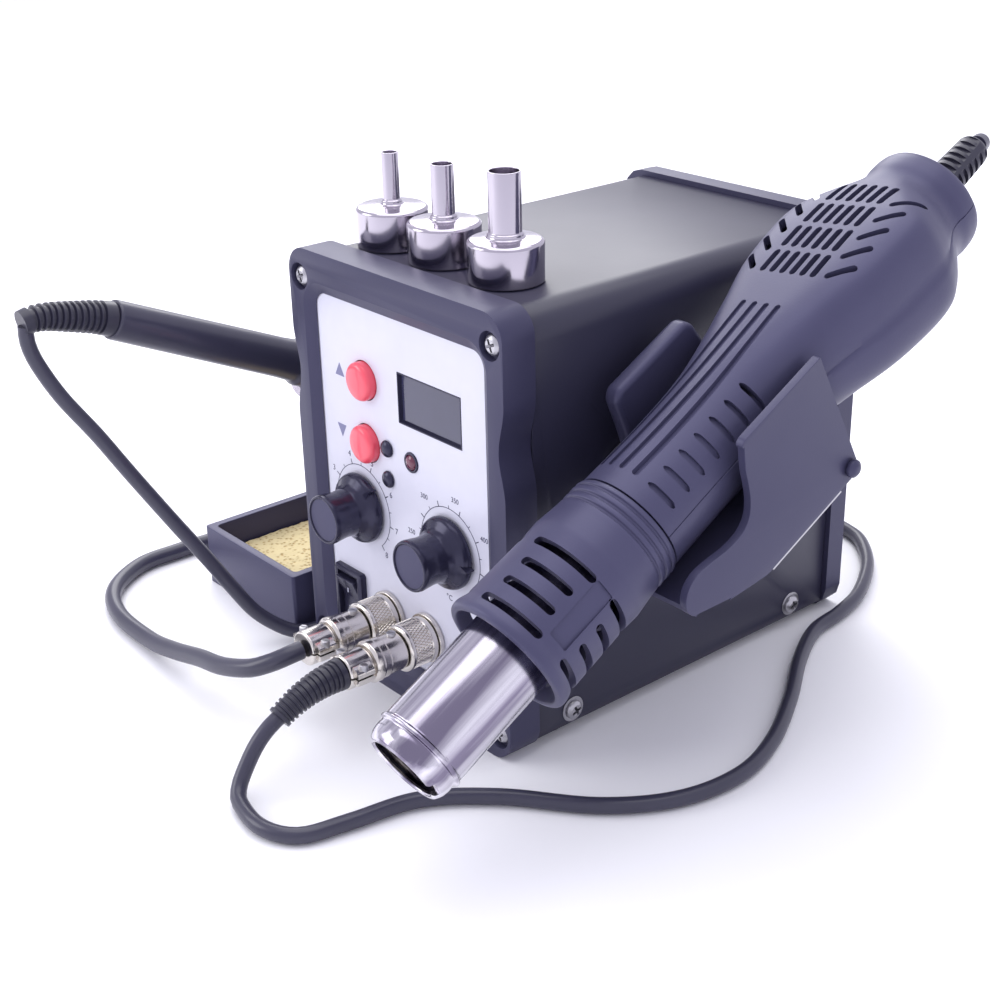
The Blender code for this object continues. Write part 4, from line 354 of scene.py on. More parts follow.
# %% Finishes on the solids
finish_of_slot = {
    "black_abs": frame_abs, "textured_steel": cover_paint, "soft_black": handle_abs,
    "black_rubber": boot_vinyl, "white_panel": panel_lacquer, "red_button": button_acrylic,
    "dark_glass": window_acrylic, "red_lens": lamp_acrylic, "gloss_black": glossy_abs,
    "nickel": nickel_plate, "steel": spun_steel, "zinc": zinc_plate, "brass": copper_wire,
    "ceramic": heater_ceramic, "circuit_green": board_lacquer, "white_abs": blower_abs,
    "sponge": sponge_cellulose, "cord_black": cord_vinyl,
}
slot_of_node = {s["node"]: s["material_slot"] for s in frame["record"]["subparts"]}
for name, node in nodes.items():
    node.data.materials.clear()
    node.data.materials.append(finish_of_slot[slot_of_node[name]])
nodes["handle_cradle"].data.materials[0] = cradle_abs
nodes["stand_base"].data.materials[0] = stand_abs

# %% [markdown]
# The bench is a plain pale floor. The lamps are wide and soft, one above, one behind on the left and
# a weaker one in front on the left, as in a light tent. The tent's light is a little violet, as in the
# photograph, and it is white where the camera sees it directly.

# %% Floor, lamps and world


def make_floor():
    """A wide pale floor."""
    size = 6.0
    data = bpy.data.meshes.new("floor")
    corners = [(-size, -size, 0), (size, -size, 0), (size, size, 0), (-size, size, 0)]
    data.from_pydata(corners, [], [(0, 1, 2, 3)])
    floor = bpy.data.objects.new("floor", data)
    bpy.context.scene.collection.objects.link(floor)
    made, tree, shader, place = start_material("pale_floor", "fcfcfe", 0.7)
    dapple = add_node(tree, "ShaderNodeTexNoise", {"Scale": per_mm(120)}, {"Vector": place})
    tint = add_node(tree, "ShaderNodeMix", {"data_type": "RGBA", 6: linear("fafafd"),
                                            7: linear("fefeff")},
                    {0: dapple.outputs["Fac"]})
    tree.links.new(tint.outputs[2], shader.inputs["Base Color"])
    data.materials.append(made)


def make_lamp(name, place, target, size, power, colour="ffffff"):
    """A square soft light aimed at a point."""
    data = bpy.data.lights.new(name, "AREA")
    data.shape = "SQUARE"
    data.size = size
    data.energy = power
    data.color = linear(colour)[:3]
    lamp = bpy.data.objects.new(name, data)
    lamp.location = place
    lamp.rotation_euler = (Vector(target) - Vector(place)).to_track_quat("-Z", "Y").to_euler()
    bpy.context.scene.collection.objects.link(lamp)


def make_world():
    """An even, slightly violet surround that looks white to the camera."""
    world = bpy.data.worlds.new("light_tent")
    world.use_nodes = True
    tree = world.node_tree
    tree.nodes.clear()
    path = add_node(tree, "ShaderNodeLightPath")
    direct = add_node(tree, "ShaderNodeMath", {"operation": "MAXIMUM"},
                      {0: path.outputs["Is Camera Ray"], 1: path.outputs["Is Transmission Ray"]})
    seen = add_node(tree, "ShaderNodeMath", {"operation": "MAXIMUM"},
                    {0: direct.outputs[0], 1: path.outputs["Is Glossy Ray"]})
    level = add_node(tree, "ShaderNodeMapRange", {"To Min": 1.05, "To Max": 1.0},
                     {"Value": seen.outputs[0]})
    tint = add_node(tree, "ShaderNodeMix", {"data_type": "RGBA", 6: linear("efeefd"),
                                            7: linear("ffffff")}, {0: direct.outputs[0]})
    glow = add_node(tree, "ShaderNodeBackground", {},
                    {"Color": tint.outputs[2], "Strength": level.outputs["Result"]})
    add_node(tree, "ShaderNodeOutputWorld", {}, {"Surface": glow.outputs[0]})
    bpy.context.scene.world = world


make_floor()
make_world()
make_lamp("lamp_above", (-0.1, 0.2, 1.5), (0, 0.05, 0.05), 1.4, 11)
make_lamp("lamp_back_left", (-1.0, 0.7, 0.9), (0, 0.05, 0.08), 0.9, 9)
make_lamp("lamp_front_left", (-0.9, -1.0, 0.7), (0, 0, 0.08), 0.8, 7)

# %% [markdown]
# A cord is a fixed length of something flexible. Each one follows a smooth curve through its route,
# and it is built as a tube along that curve.

# %% Cord routes
front_y = -5.75 * mm
hot_air_cord_diameter = 5.8 * mm
iron_cord_diameter = 4.8 * mm
hot_air_cord_route = [
    (-10, -31.4, 26), (-10.6, -35.5, 25.5), (-13.6, -39.6, 23.4), (-20.4, -43.6, 20),
    (-34, -45.5, 15.6), (-49, -45, 12), (-66, -44.8, 7.4), (-83, -44.5, 4.2),
    (-107.7, -42.7, 3.1), (-125.8, -34.9, 3.1), (-137.1, -18.5, 3.1), (-138.2, -2, 3.1),
    (-137, 20, 3.1), (-134, 60, 3.1), (-131, 105, 3.1), (-122, 150, 3.1), (-98, 188, 3.1),
    (-64, 208.7, 3.2), (-34, 210.5, 5), (-14, 205, 12), (-5, 198, 27), (5, 193, 48.5),
    (19.3, 192, 78.7), (35.5, 191, 111.4), (50, 187, 134), (62, 179, 146.5), (71, 170.5, 154.6),
    (77.2, 164.6, 160.2), (81, 161, 162.9), (82, 157.9, 162.8)]
iron_cord_route = [
    (9.5, -51.7, 20.7), (9.5, -56.5, 18.2), (9.6, -61, 14.4), (9.9, -65.2, 9), (11.8, -69.3, 4.4),
    (16.8, -71.8, 2.6), (29.7, -73.2, 2.6), (39.8, -67.5, 2.6), (43.7, -53.5, 2.6),
    (48.4, -32.6, 2.6), (62.5, -14.8, 2.6), (84.5, 3.1, 2.6), (97.1, 22.2, 2.6),
    (100.4, 43.5, 2.6), (95.1, 63.4, 2.6), (83.2, 85.5, 2.6), (69.2, 106.7, 2.6),
    (60, 125, 2.6), (57.5, 141, 2.6), (53, 157, 2.6), (42, 176, 2.6), (29.5, 189, 2.6),
    (19.6, 194.1, 2.6), (2, 196, 2.6), (-22, 190, 2.6), (-42, 174, 2.6), (-53, 150, 2.6),
    (-54.2, 118, 2.6), (-54.2, 84, 2.6), (-54.2, 50, 2.6), (-54.2, 20, 2.6), (-54.3, 3, 2.7)]
# From the bench up to the iron, where it hangs in one even sweep
iron_cord_rise_route = [
    (-55.7, -4, 3.6), (-58.1, -9.6, 6.8), (-61.1, -16.4, 13.5), (-63.7, -22.3, 23.2),
    (-66.9, -29.6, 36.3), (-70.8, -38.5, 51.5), (-75.1, -48.2, 68.6), (-78.5, -55.9, 82.6),
    (-82, -64, 96), (-84.3, -69.2, 107.5), (-85, -71, 114.5), (-85, -70.9, 119.6)]

# %% [markdown]
# A route is only a few points. A smooth curve is drawn through them and cut into even steps, so that a
# tube along it is as finely divided at its bends as on its straights.

# %% Smooth paths


def smooth_path(points, spacing):
    """Evenly spaced points along a smooth curve through the given points."""
    knots = [Vector(p) for p in points]
    knots = [2 * knots[0] - knots[1]] + knots + [2 * knots[-1] - knots[-2]]
    fine = []
    for k in range(1, len(knots) - 2):
        before, start, end, after = knots[k - 1:k + 3]
        for i in range(24):
            t = i / 24
            bend = 2 * before - 5 * start + 4 * end - after
            twist = 3 * start - before - 3 * end + after
            fine.append(0.5 * (2 * start + (end - before) * t + bend * t * t + twist * t ** 3))
    fine.append(knots[-2])
    travelled = [0.0]
    for a, b in zip(fine, fine[1:]):
        travelled.append(travelled[-1] + (b - a).length)
    count = max(2, round(travelled[-1] / spacing))
    even = []
    k = 0
    for i in range(count + 1):
        target = travelled[-1] * i / count
        while k < len(fine) - 2 and travelled[k + 1] < target:
            k += 1
        share = (target - travelled[k]) / (travelled[k + 1] - travelled[k])
        even.append(fine[k].lerp(fine[k + 1], min(1.0, share)))
    return even


def path_length(path):
    """The length of a path of points."""
    return sum((b - a).length for a, b in zip(path, path[1:]))


# %% [markdown]
# A tube is drawn by carrying a circle along its path. The circle's frame is carried on from point to
# point, so the tube never twists. The boots are swept in the same way, with a radius at each point.

# %% Tubes along a path


def carried_frames(path):
    """A side direction at each point of a path, carried along it without twisting."""
    sides = []
    along = (path[1] - path[0]).normalized()
    side = along.orthogonal().normalized()
    for k in range(len(path)):
        ahead = path[min(k + 1, len(path) - 1)] - path[max(k - 1, 0)]
        along = ahead.normalized()
        side = (side - side.dot(along) * along).normalized()
        sides.append((side.copy(), along.cross(side)))
    return sides


def sweep(shape, path, radii, sides):
    """A round rod along a path, with its own radius at each point."""
    rings = []
    for point, radius, (side, up) in zip(path, radii, carried_frames(path)):
        ring = []
        for i in range(sides):
            angle = full_turn * i / sides
            ring.append(shape.verts.new(point + radius * (math.cos(angle) * side
                                                         + math.sin(angle) * up)))
        rings.append(ring)
    bridge(shape, rings)
    shape.faces.new(rings[0])
    shape.faces.new(rings[-1])


def bridge(shape, rings, loop=False):
    """Join rings of vertices, in order, with quads. A ring of one vertex is a point."""
    pairs = list(zip(rings, rings[1:]))
    if loop:
        pairs.append((rings[-1], rings[0]))
    for first, second in pairs:
        count = max(len(first), len(second))
        for i in range(count):
            j = (i + 1) % count
            if len(first) == 1:
                shape.faces.new((first[0], second[j], second[i]))
            elif len(second) == 1:
                shape.faces.new((first[i], first[j], second[0]))
            else:
                shape.faces.new((first[i], first[j], second[j], second[i]))


def make_piece(name, shape, finish, sharp=35):
    """A bmesh as a piece of the object, smooth on its round faces."""
    bmesh.ops.recalc_face_normals(shape, faces=shape.faces)
    data = bpy.data.meshes.new(name)
    shape.to_mesh(data)
    shape.free()
    data.materials.append(finish)
    data.shade_smooth()
    data.set_sharp_from_angle(angle=math.radians(sharp))
    piece = bpy.data.objects.new(name, data)
    bpy.context.scene.collection.objects.link(piece)
    return piece


# %% [markdown]
# Both jackets are extruded PVC round their wires. The hot air cord is thicker, because it also holds
# the air motor's leads.

# %% Cords


def cord_path(route, spacing):
    """The smooth path of a route that is given in millimetres from the bezel's front face."""
    return smooth_path([(x * mm, y * mm + front_y, z * mm) for x, y, z in route], spacing)


def make_cord(name, path, diameter, finish):
    """A round jacket along a path."""
    shape = bmesh.new()
    sweep(shape, path, [diameter / 2] * len(path), 20)
    return make_piece(name, shape, finish)


iron_x = -85 * mm
iron_tilt = math.radians(24.4)
iron_frame = (Matrix.Translation((iron_x, front_y + 28 * mm, 83.2 * mm))
              @ Matrix.Rotation(-iron_tilt, 4, "X"))
iron_boot_route = [(0, -78.5, 0), (0, -84, -0.5), (0, -91.5, -1.9), (0, -98.7, -3.4),
                   (0, -103.3, -5.0), (0, -106.7, -7.2)]


def iron_point(point):
    """A point of the iron's own frame, in millimetres, as a place in the room."""
    return iron_frame @ (Vector(point) * mm)


hot_air_path = cord_path(hot_air_cord_route, 3 * mm)
hot_air_cord = make_cord("hot_air_cord_jacket", hot_air_path, hot_air_cord_diameter, cord_vinyl)
iron_path = cord_path(iron_cord_route + iron_cord_rise_route, 2.5 * mm)
iron_cord = make_cord("iron_cord_jacket", iron_path, iron_cord_diameter, cord_vinyl)
print("hot air cord:", round(path_length(hot_air_path), 3), "m")
print("iron cord:", round(path_length(iron_path), 3), "m")

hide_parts("hot_air_cord")
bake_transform(hot_air_cord)
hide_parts("iron_cord", "iron_cord_rise")
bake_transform(iron_cord)

# %% [markdown]
# Most pieces of such a station are turned, bent from sheet or moulded, so they are drawn here by
# revolving, extruding or skinning outlines. Each helper adds one closed form to a shape.

# %% Shape helpers
no_turn = Matrix.Identity(4)
turn_to_axis = {"Z": no_turn, "Y": Matrix.Rotation(-math.pi / 2, 4, "X"),
                "X": Matrix.Rotation(math.pi / 2, 4, "Y")}


def turned(shape, outline, sides=72, along="Z", place=no_turn):
    """Revolve (radius, height) points. Ends at radius 0 make a solid, any others a closed ring."""
    rings = []
    for radius, height in outline:
        count = 1 if radius == 0 else sides
        ring = []
        for i in range(count):
            angle = full_turn * (i + 0.5) / sides
            point = Vector((radius * math.cos(angle), radius * math.sin(angle), height))
            ring.append(shape.verts.new(place @ turn_to_axis[along] @ point))
        rings.append(ring)
    bridge(shape, rings, loop=outline[0][0] != 0)


def prism(shape, outline, low, high, along="Z", place=no_turn):
    """Extrude a flat outline. Its points are (x, y) for Z, (x, z) for Y and (y, z) for X."""
    def spot(point, height):
        a, b = point
        return {"Z": (a, b, height), "Y": (a, height, b), "X": (height, a, b)}[along]
    rings = [[shape.verts.new(place @ Vector(spot(p, h))) for p in outline] for h in (low, high)]
    bridge(shape, rings)
    shape.faces.new(rings[0])
    shape.faces.new(rings[1])


def loft(shape, sections, loop=False, place=no_turn):
    """Skin closed sections of as many points each. The ends are capped unless they are joined."""
    rings = [[shape.verts.new(place @ Vector(p)) for p in section] for section in sections]
    bridge(shape, rings, loop)
    if not loop:
        shape.faces.new(rings[0])
        shape.faces.new(rings[-1])


def block(shape, low, high, place=no_turn):
    """A box between two corners."""
    outline = [(low[0], low[1]), (high[0], low[1]), (high[0], high[1]), (low[0], high[1])]
    prism(shape, outline, low[2], high[2], "Z", place)


# %% [markdown]
# Hardly any edge of a moulded or pressed part is sharp. These helpers give an outline its round
# corners before it is turned or extruded, because an arc in the outline is cleaner than a later bevel.

# %% Outlines


def rounded_box_outline(left, right, low, high, corner, steps=10):
    """A rectangle with round corners, as points."""
    points = []
    centres = ((right - corner, high - corner), (left + corner, high - corner),
               (left + corner, low + corner), (right - corner, low + corner))
    for quarter, (x, z) in enumerate(centres):
        for i in range(steps + 1):
            angle = (quarter + i / steps) * math.pi / 2
            points.append((x + corner * math.cos(angle), z + corner * math.sin(angle)))
    return points


def slot_outline(middle, length, width, angle, steps=10):
    """A slot with round ends, turned by an angle, as points."""
    points = []
    straight = (length - width) / 2
    for end, start in ((1, -math.pi / 2), (-1, math.pi / 2)):
        for i in range(steps + 1):
            bend = start + math.pi * i / steps
            u = end * straight + width / 2 * math.cos(bend)
            v = width / 2 * math.sin(bend)
            points.append((middle[0] + u * math.cos(angle) - v * math.sin(angle),
                           middle[1] + u * math.sin(angle) + v * math.cos(angle)))
    return points


def rounded_corners(outline, radius, closed=True, steps=4):
    """The outline with an arc at each corner, smaller where its neighbours are close."""
    points = [Vector(p) for p in outline]
    made = []
    for k, corner in enumerate(points):
        if not closed and k in (0, len(points) - 1):
            made.append(tuple(corner))
            continue
        before = points[k - 1] - corner
        after = points[(k + 1) % len(points)] - corner
        reach = min(radius, 0.45 * before.length, 0.45 * after.length)
        start = corner + before.normalized() * reach
        end = corner + after.normalized() * reach
        for i in range(steps + 1):
            t = i / steps
            made.append(tuple((1 - t) ** 2 * start + 2 * t * (1 - t) * corner + t * t * end))
    return made


# %% [markdown]
# A piece starts as a work object. Others are cut out of it or joined to it by Boolean modifiers, and a
# narrow bevel softens its edges. At the end the modifiers are baked to one plain mesh, and the piece
# is told which body it rides on and which solids it stands for.

# %% Work objects


def work_object(name, shape, place=no_turn):
    """An object to cut, to cut with or to copy. It is removed when the piece is baked."""
    bmesh.ops.recalc_face_normals(shape, faces=shape.faces)
    data = bpy.data.meshes.new(name)
    shape.to_mesh(data)
    shape.free()
    data.transform(place)
    work = bpy.data.objects.new(name, data)
    bpy.context.scene.collection.objects.link(work)
    return work


def combine(target, other, operation="DIFFERENCE"):
    """Cut another work object out of the target, or join it to it."""
    modifier = target.modifiers.new(other.name, "BOOLEAN")
    modifier.operation = operation
    modifier.solver = "EXACT"
    modifier.object = other
    target["used"] = list(target.get("used", [])) + [other.name]


def soften(target, width, segments, angle=30):
    """Round the edges of a work object that are sharper than an angle."""
    modifier = target.modifiers.new("soften", "BEVEL")
    modifier.width = width
    modifier.segments = segments
    modifier.limit_method = "ANGLE"
    modifier.angle_limit = math.radians(angle)
    modifier.use_clamp_overlap = True
    modifier.harden_normals = False


def move_work(target, place):
    """Move a work object with everything that cuts it or joins it."""
    for name in list(target.get("used", [])) + [target.name]:
        bpy.data.objects[name].data.transform(place)


def join_works(target, others):
    """Put the meshes of other work objects into the target's own mesh."""
    shape = bmesh.new()
    for work in [target] + others:
        shape.from_mesh(work.data)
    shape.to_mesh(target.data)
    shape.free()
    for work in others:
        bpy.data.objects.remove(work)


def evaluated_mesh(work):
    """The mesh of an object with its modifiers applied."""
    bpy.context.view_layer.update()
    depsgraph = bpy.context.evaluated_depsgraph_get()
    return bpy.data.meshes.new_from_object(work.evaluated_get(depsgraph))


def finish_piece(name, work, finish, body, stands_for=(), sharp=35):
    data = evaluated_mesh(work)
    for used in list(work.get("used", [])) + [work.name]:
        bpy.data.objects.remove(bpy.data.objects[used])
    data.name = name
    data.materials.clear()
    data.materials.append(finish)
    data.polygons.foreach_set("material_index", [0] * len(data.polygons))
    data.shade_smooth()
    data.set_sharp_from_angle(angle=math.radians(sharp))
    piece = bpy.data.objects.new(name, data)
    bpy.context.scene.collection.objects.link(piece)
    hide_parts(*stands_for)
    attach(piece, body)
    print(name, "has", len(data.polygons), "faces")
    return piece


# %% [markdown]
# Screws, slots, ribs, ticks and knurls are one shape set out again and again. A node tree does that:
# it copies an item along a step and turns each copy on from the last, so it makes rows and rings.

# %% Repeats


def make_repeat_tree():
    """The node tree that sets out copies of an item."""
    tree = bpy.data.node_groups.new("repeat_item", "GeometryNodeTree")
    for label, kind in (("Item", "NodeSocketObject"), ("Count", "NodeSocketInt"),
                        ("Step", "NodeSocketVector"), ("Turn", "NodeSocketVector"),
                        ("Finish", "NodeSocketMaterial")):
        tree.interface.new_socket(name=label, in_out="INPUT", socket_type=kind)
    tree.interface.new_socket(name="Geometry", in_out="OUTPUT", socket_type="NodeSocketGeometry")
    given = add_node(tree, "NodeGroupInput").outputs
    item = add_node(tree, "GeometryNodeObjectInfo", {"transform_space": "ORIGINAL"},
                    {"Object": given["Item"]})
    line = add_node(tree, "GeometryNodeMeshLine", {"mode": "OFFSET"},
                    {"Count": given["Count"], "Offset": given["Step"]})
    index = add_node(tree, "GeometryNodeInputIndex")
    turning = add_node(tree, "ShaderNodeVectorMath", {"operation": "SCALE"},
                       {0: given["Turn"], "Scale": index.outputs["Index"]})
    copies = add_node(tree, "GeometryNodeInstanceOnPoints", {},
                      {"Points": line.outputs["Mesh"], "Instance": item.outputs["Geometry"],
                       "Rotation": turning.outputs["Vector"]})
    real = add_node(tree, "GeometryNodeRealizeInstances", {},
                    {"Geometry": copies.outputs["Instances"]})
    painted = add_node(tree, "GeometryNodeSetMaterial", {},
                       {"Geometry": real.outputs["Geometry"], "Material": given["Finish"]})
    add_node(tree, "NodeGroupOutput", {}, {"Geometry": painted.outputs["Geometry"]})
    return tree


repeat_tree = make_repeat_tree()
repeat_inputs = {socket.name: socket.identifier for socket in repeat_tree.interface.items_tree
                 if socket.in_out == "INPUT"}


def repeat(name, item, count, step=(0, 0, 0), turn=(0, 0, 0), place=no_turn, finish=None):
    """Copies of a work object, each moved and turned on from the last, as one work object."""
    holder = bpy.data.objects.new(name + "_holder", bpy.data.meshes.new(name + "_holder"))
    bpy.context.scene.collection.objects.link(holder)
    modifier = holder.modifiers.new("repeat", "NODES")
    modifier.node_group = repeat_tree
    modifier[repeat_inputs["Item"]] = item
    modifier[repeat_inputs["Count"]] = count
    modifier[repeat_inputs["Step"]] = step
    modifier[repeat_inputs["Turn"]] = turn
    modifier[repeat_inputs["Finish"]] = finish
    data = evaluated_mesh(holder)
    bpy.data.objects.remove(holder)
    bpy.data.objects.remove(item)
    data.transform(place)
    copies = bpy.data.objects.new(name, data)
    bpy.context.scene.collection.objects.link(copies)
    return copies


# %% [markdown]
# The station is a box of bent sheet between two moulded frames. Its sizes are set down once, so that
# each frame, sheet and screw takes its place from the same values.

# %% Station sizes
station_width = 100 * mm
station_height = 138 * mm
station_depth = 150 * mm
frame_corner = 8 * mm
bezel_depth = 11.5 * mm
rear_frame_depth = 7.5 * mm
rear_y = front_y + station_depth
cover_half_width = 48.2 * mm
cover_top = 136.2 * mm
cover_wall = 1.6 * mm
cover_corner = 9 * mm
cover_foot_height = 3.4 * mm
cover_front = front_y + bezel_depth + 0.3 * mm
cover_rear = rear_y - rear_frame_depth - 0.3 * mm
window_half_width = 39.6 * mm
window_low = 13 * mm
window_high = 125 * mm
window_corner = 5 * mm
window_slope = 3.6 * mm
panel_setback = 2.2 * mm
panel_front = front_y + panel_setback + 0.3 * mm
panel_wall = 1.6 * mm
panel_reach = 2.7 * mm
frame_screw_x = 44.6 * mm
frame_screw_low = 8 * mm
frame_screw_high = 128.8 * mm
screw_recess_radius = 4.2 * mm
screw_recess_depth = 2.4 * mm
screw_hole_radius = 1.8 * mm
side_screw_z = 8 * mm
side_screw_front = front_y + 26.3 * mm
side_screw_rear = front_y + 126 * mm

# %% [markdown]
# The front bezel is a deep moulding with a scallop in each side for the fingers. Its window slopes
# in to the panel, and each corner has a round recess for a screw. It is one extruded outline with
# everything else cut out of it, as the cores of the mould would leave it.

# %% Bezel


def bezel_outline():
    """The bezel's face: round corners, and a shallow scallop in each side."""
    scallop_low, scallop_high, scallop_depth = 84 * mm, 113 * mm, 2.4 * mm
    half = station_width / 2
    corners = rounded_box_outline(-half, half, 0, station_height, frame_corner)
    steps = 24
    right, left = [], []
    for i in range(steps + 1):
        z = scallop_low + (scallop_high - scallop_low) * i / steps
        inward = scallop_depth * 0.5 * (1 - math.cos(full_turn * i / steps))
        right.append((half - inward, z))
        left.insert(0, (inward - half, z))
    quarter = len(corners) // 4
    return right + corners[:2 * quarter] + left + corners[2 * quarter:]


def frame_screw_holes(name, back, seat, face):
    """Four stepped holes for the corner screws, as a work object."""
    hole = bmesh.new()
    turned(hole, [(0, back), (screw_hole_radius, back), (screw_hole_radius, seat),
                  (screw_recess_radius, seat), (screw_recess_radius, face), (0, face)], 48, "Y")
    pair = repeat(name + "_pair", work_object(name + "_hole", hole), 2,
                  (2 * frame_screw_x, 0, 0))
    return repeat(name, pair, 2, (0, 0, frame_screw_high - frame_screw_low), (0, 0, 0),
                  Matrix.Translation((-frame_screw_x, 0, frame_screw_low)))


def window_shape():
    """The window's opening, which slopes in from the bezel's face to the panel."""
    shape = bmesh.new()
    sections = []
    outside = window_slope * (1 + 1 * mm / panel_setback)
    for y, spread in ((front_y - 1 * mm, outside), (front_y + panel_setback, 0),
                      (front_y + bezel_depth + 1 * mm, 0)):
        outline = rounded_box_outline(-window_half_width - spread, window_half_width + spread,
                                      window_low - spread, window_high + spread,
                                      window_corner + spread)
        sections.append([(x, y, z) for x, z in outline])
    loft(shape, sections)
    return shape


shape = bmesh.new()
prism(shape, bezel_outline(), front_y, front_y + bezel_depth, "Y")
bezel = work_object("bezel_work", shape)
combine(bezel, work_object("window", window_shape()))
pocket = bmesh.new()
prism(pocket, rounded_box_outline(-window_half_width - 3 * mm, window_half_width + 3 * mm,
                                  window_low - 3 * mm, window_high + 3 * mm, window_corner),
      front_y + panel_setback, front_y + bezel_depth + 1 * mm, "Y")
combine(bezel, work_object("pocket", pocket))
combine(bezel, frame_screw_holes("bezel_holes", front_y + bezel_depth + 1 * mm,
                                 front_y + screw_recess_depth, front_y - 1 * mm))
soften(bezel, 0.7 * mm, 3)
finish_piece("bezel", bezel, frame_abs, "station", ["front_bezel"])

# %% [markdown]
# The cover is one bent sheet that makes the top and both sides. Its bends are round, its edges are
# thin, and it has a hole for each of the four base screws. One arch, extruded, gives the same walls.

# %% Cover


def arch_outline(half, top, corner, steps=16):
    """An arch with square feet and round shoulders."""
    points = [(half, cover_foot_height)]
    for quarter, x in ((0, half - corner), (1, corner - half)):
        for i in range(steps + 1):
            angle = (quarter + i / steps) * math.pi / 2
            points.append((x + corner * math.cos(angle), top - corner + corner * math.sin(angle)))
    points.append((-half, cover_foot_height))
    return points


shape = bmesh.new()
prism(shape, arch_outline(cover_half_width, cover_top, cover_corner)
      + arch_outline(cover_half_width - cover_wall, cover_top - cover_wall,
                     cover_corner - cover_wall)[::-1], cover_front, cover_rear, "Y")
cover = work_object("cover_work", shape)
hole = bmesh.new()
turned(hole, [(0, -2 * cover_half_width), (screw_hole_radius, -2 * cover_half_width),
              (screw_hole_radius, 2 * cover_half_width), (0, 2 * cover_half_width)], 32, "X")
combine(cover, repeat("side_holes", work_object("side_hole", hole), 2,
                      (0, side_screw_rear - side_screw_front, 0), (0, 0, 0),
                      Matrix.Translation((0, side_screw_front, side_screw_z))))
soften(cover, 0.2 * mm, 2)
finish_piece("cover", cover, cover_paint, "station", ["top_cover"])

# %% [markdown]
# The handle is two moulded shells. Its section starts as a circle at the guard, grows to a flat-topped
# head over the blower and closes to a round collar at the cord. Its form follows a rule, a squarer or
# rounder oval at each place, so a table of sections with a smooth curve through it gives the surface.

# %% Handle sections
cradle_place = (Matrix.Translation((82 * mm, front_y - 62.3 * mm, 42.7 * mm))
                @ Matrix.Rotation(handle_tilt, 4, "X"))
# The handle lies in the cradle rolled a little towards the station
handle_roll = math.radians(-8.5)
handle_place = cradle_place @ Matrix.Rotation(handle_roll, 4, "Y")
# Along the axis, half width, half height, and squareness below and above, in millimetres
handle_sections = [(88.4, 16.4, 16.4, 2.0, 2.0), (110, 15.9, 15.9, 2.05, 2.05),
                   (130, 16.2, 16.2, 2.15, 2.3), (145, 18.2, 17.0, 2.4, 3.0),
                   (159, 21.0, 18.0, 2.7, 3.9), (174, 25.0, 19.0, 3.0, 4.6),
                   (189, 26.4, 19.5, 3.2, 4.8), (198, 26.2, 19.3, 3.1, 4.5),
                   (204, 23.8, 18.8, 2.8, 3.7), (209, 20.8, 18.2, 2.4, 2.9),
                   (213, 18.4, 17.6, 2.1, 2.3), (216.5, 17.5, 17.4, 2.0, 2.0),
                   (220, 17.8, 17.7, 2.0, 2.0), (224.6, 17.2, 17.2, 2.0, 2.0),
                   (226.4, 15.6, 15.6, 2.0, 2.0), (227.2, 12.2, 12.2, 2.0, 2.0)]
handle_end = handle_sections[-1][0]


def section_at(rows, along):
    """The sizes of the section at a place along the axis, on a smooth curve through the rows."""
    k = 0
    while k < len(rows) - 2 and rows[k + 1][0] < along:
        k += 1
    start, end = Vector(rows[k]), Vector(rows[k + 1])
    before = Vector(rows[max(k - 1, 0)])
    after = Vector(rows[min(k + 2, len(rows) - 1)])
    span = end[0] - start[0]
    t = (along - start[0]) / span
    slope_in = (end - before) / max(end[0] - before[0], 0.001) * span
    slope_out = (after - start) / max(after[0] - start[0], 0.001) * span
    return ((2 * t ** 3 - 3 * t ** 2 + 1) * start + (t ** 3 - 2 * t ** 2 + t) * slope_in
            + (3 * t ** 2 - 2 * t ** 3) * end + (t ** 3 - t ** 2) * slope_out)


def shell_section(along, width, height, below, above, seam, steps=48):
    """A super-ellipse section with a groove of the given depth at the parting line."""
    points = []
    for side, squareness in ((1, above), (-1, below)):
        for i in range(steps + 1):
            angle = math.pi * i / steps
            if i in (0, steps):
                angle += 0.012 if i == 0 else -0.012
            c, s = math.cos(angle), math.sin(angle)
            points.append((side * width * math.copysign(abs(c) ** (2 / squareness), c), along,
                           side * height * abs(s) ** (2 / squareness)))
        points.append((-side * (width - seam), along, 0))
    return points


# %% [markdown]
# Both shells are skinned as one closed wall, inside and outside, so that slots can be cut through it.
# A fine parting line runs along each side, where the two mouldings meet.

# %% Handle shells
shell_wall = 2 * mm
parting_groove = 0.4 * mm
boot_hole_radius = 6.2 * mm


def make_handle_shell():
    """Both shells as one closed wall, before its slots are cut."""
    start, end = handle_sections[0][0], handle_sections[-1][0]
    count = 150
    places = [start + (end - start) * i / count for i in range(count + 1)]
    outer, inner = [], []
    for along in places:
        place, width, height, below, above = section_at(handle_sections, along)
        outer.append(shell_section(place * mm, width * mm, height * mm, below, above,
                                   parting_groove))
        wall = min(width * mm - shell_wall,
                   max(boot_hole_radius, (handle_end - 1.1 - along) * 6 * mm))
        rise = min(height * mm - shell_wall, wall)
        inner.append(shell_section(place * mm, wall, rise, below, above, 0.0))
    shape = bmesh.new()
    loft(shape, outer + inner[::-1], loop=True)
    return work_object("handle_work", shape)


handle = make_handle_shell()

# %% [markdown]
# Air enters the blower through slots in the head: four rows of six on top and a row of slanted ones on
# each side. The pins of the mould stand upright, so the cutters go straight down.

# %% Air slots


def row_of_slots(name, first, count, step, turn, length, width, low, high):
    """A row of slots with round ends, cut straight down, as a work object."""
    shape = bmesh.new()
    prism(shape, slot_outline((0, 0), length, width, turn), low, high)
    return repeat(name, work_object(name + "_item", shape), count, step, (0, 0, 0),
                  Matrix.Translation(first))


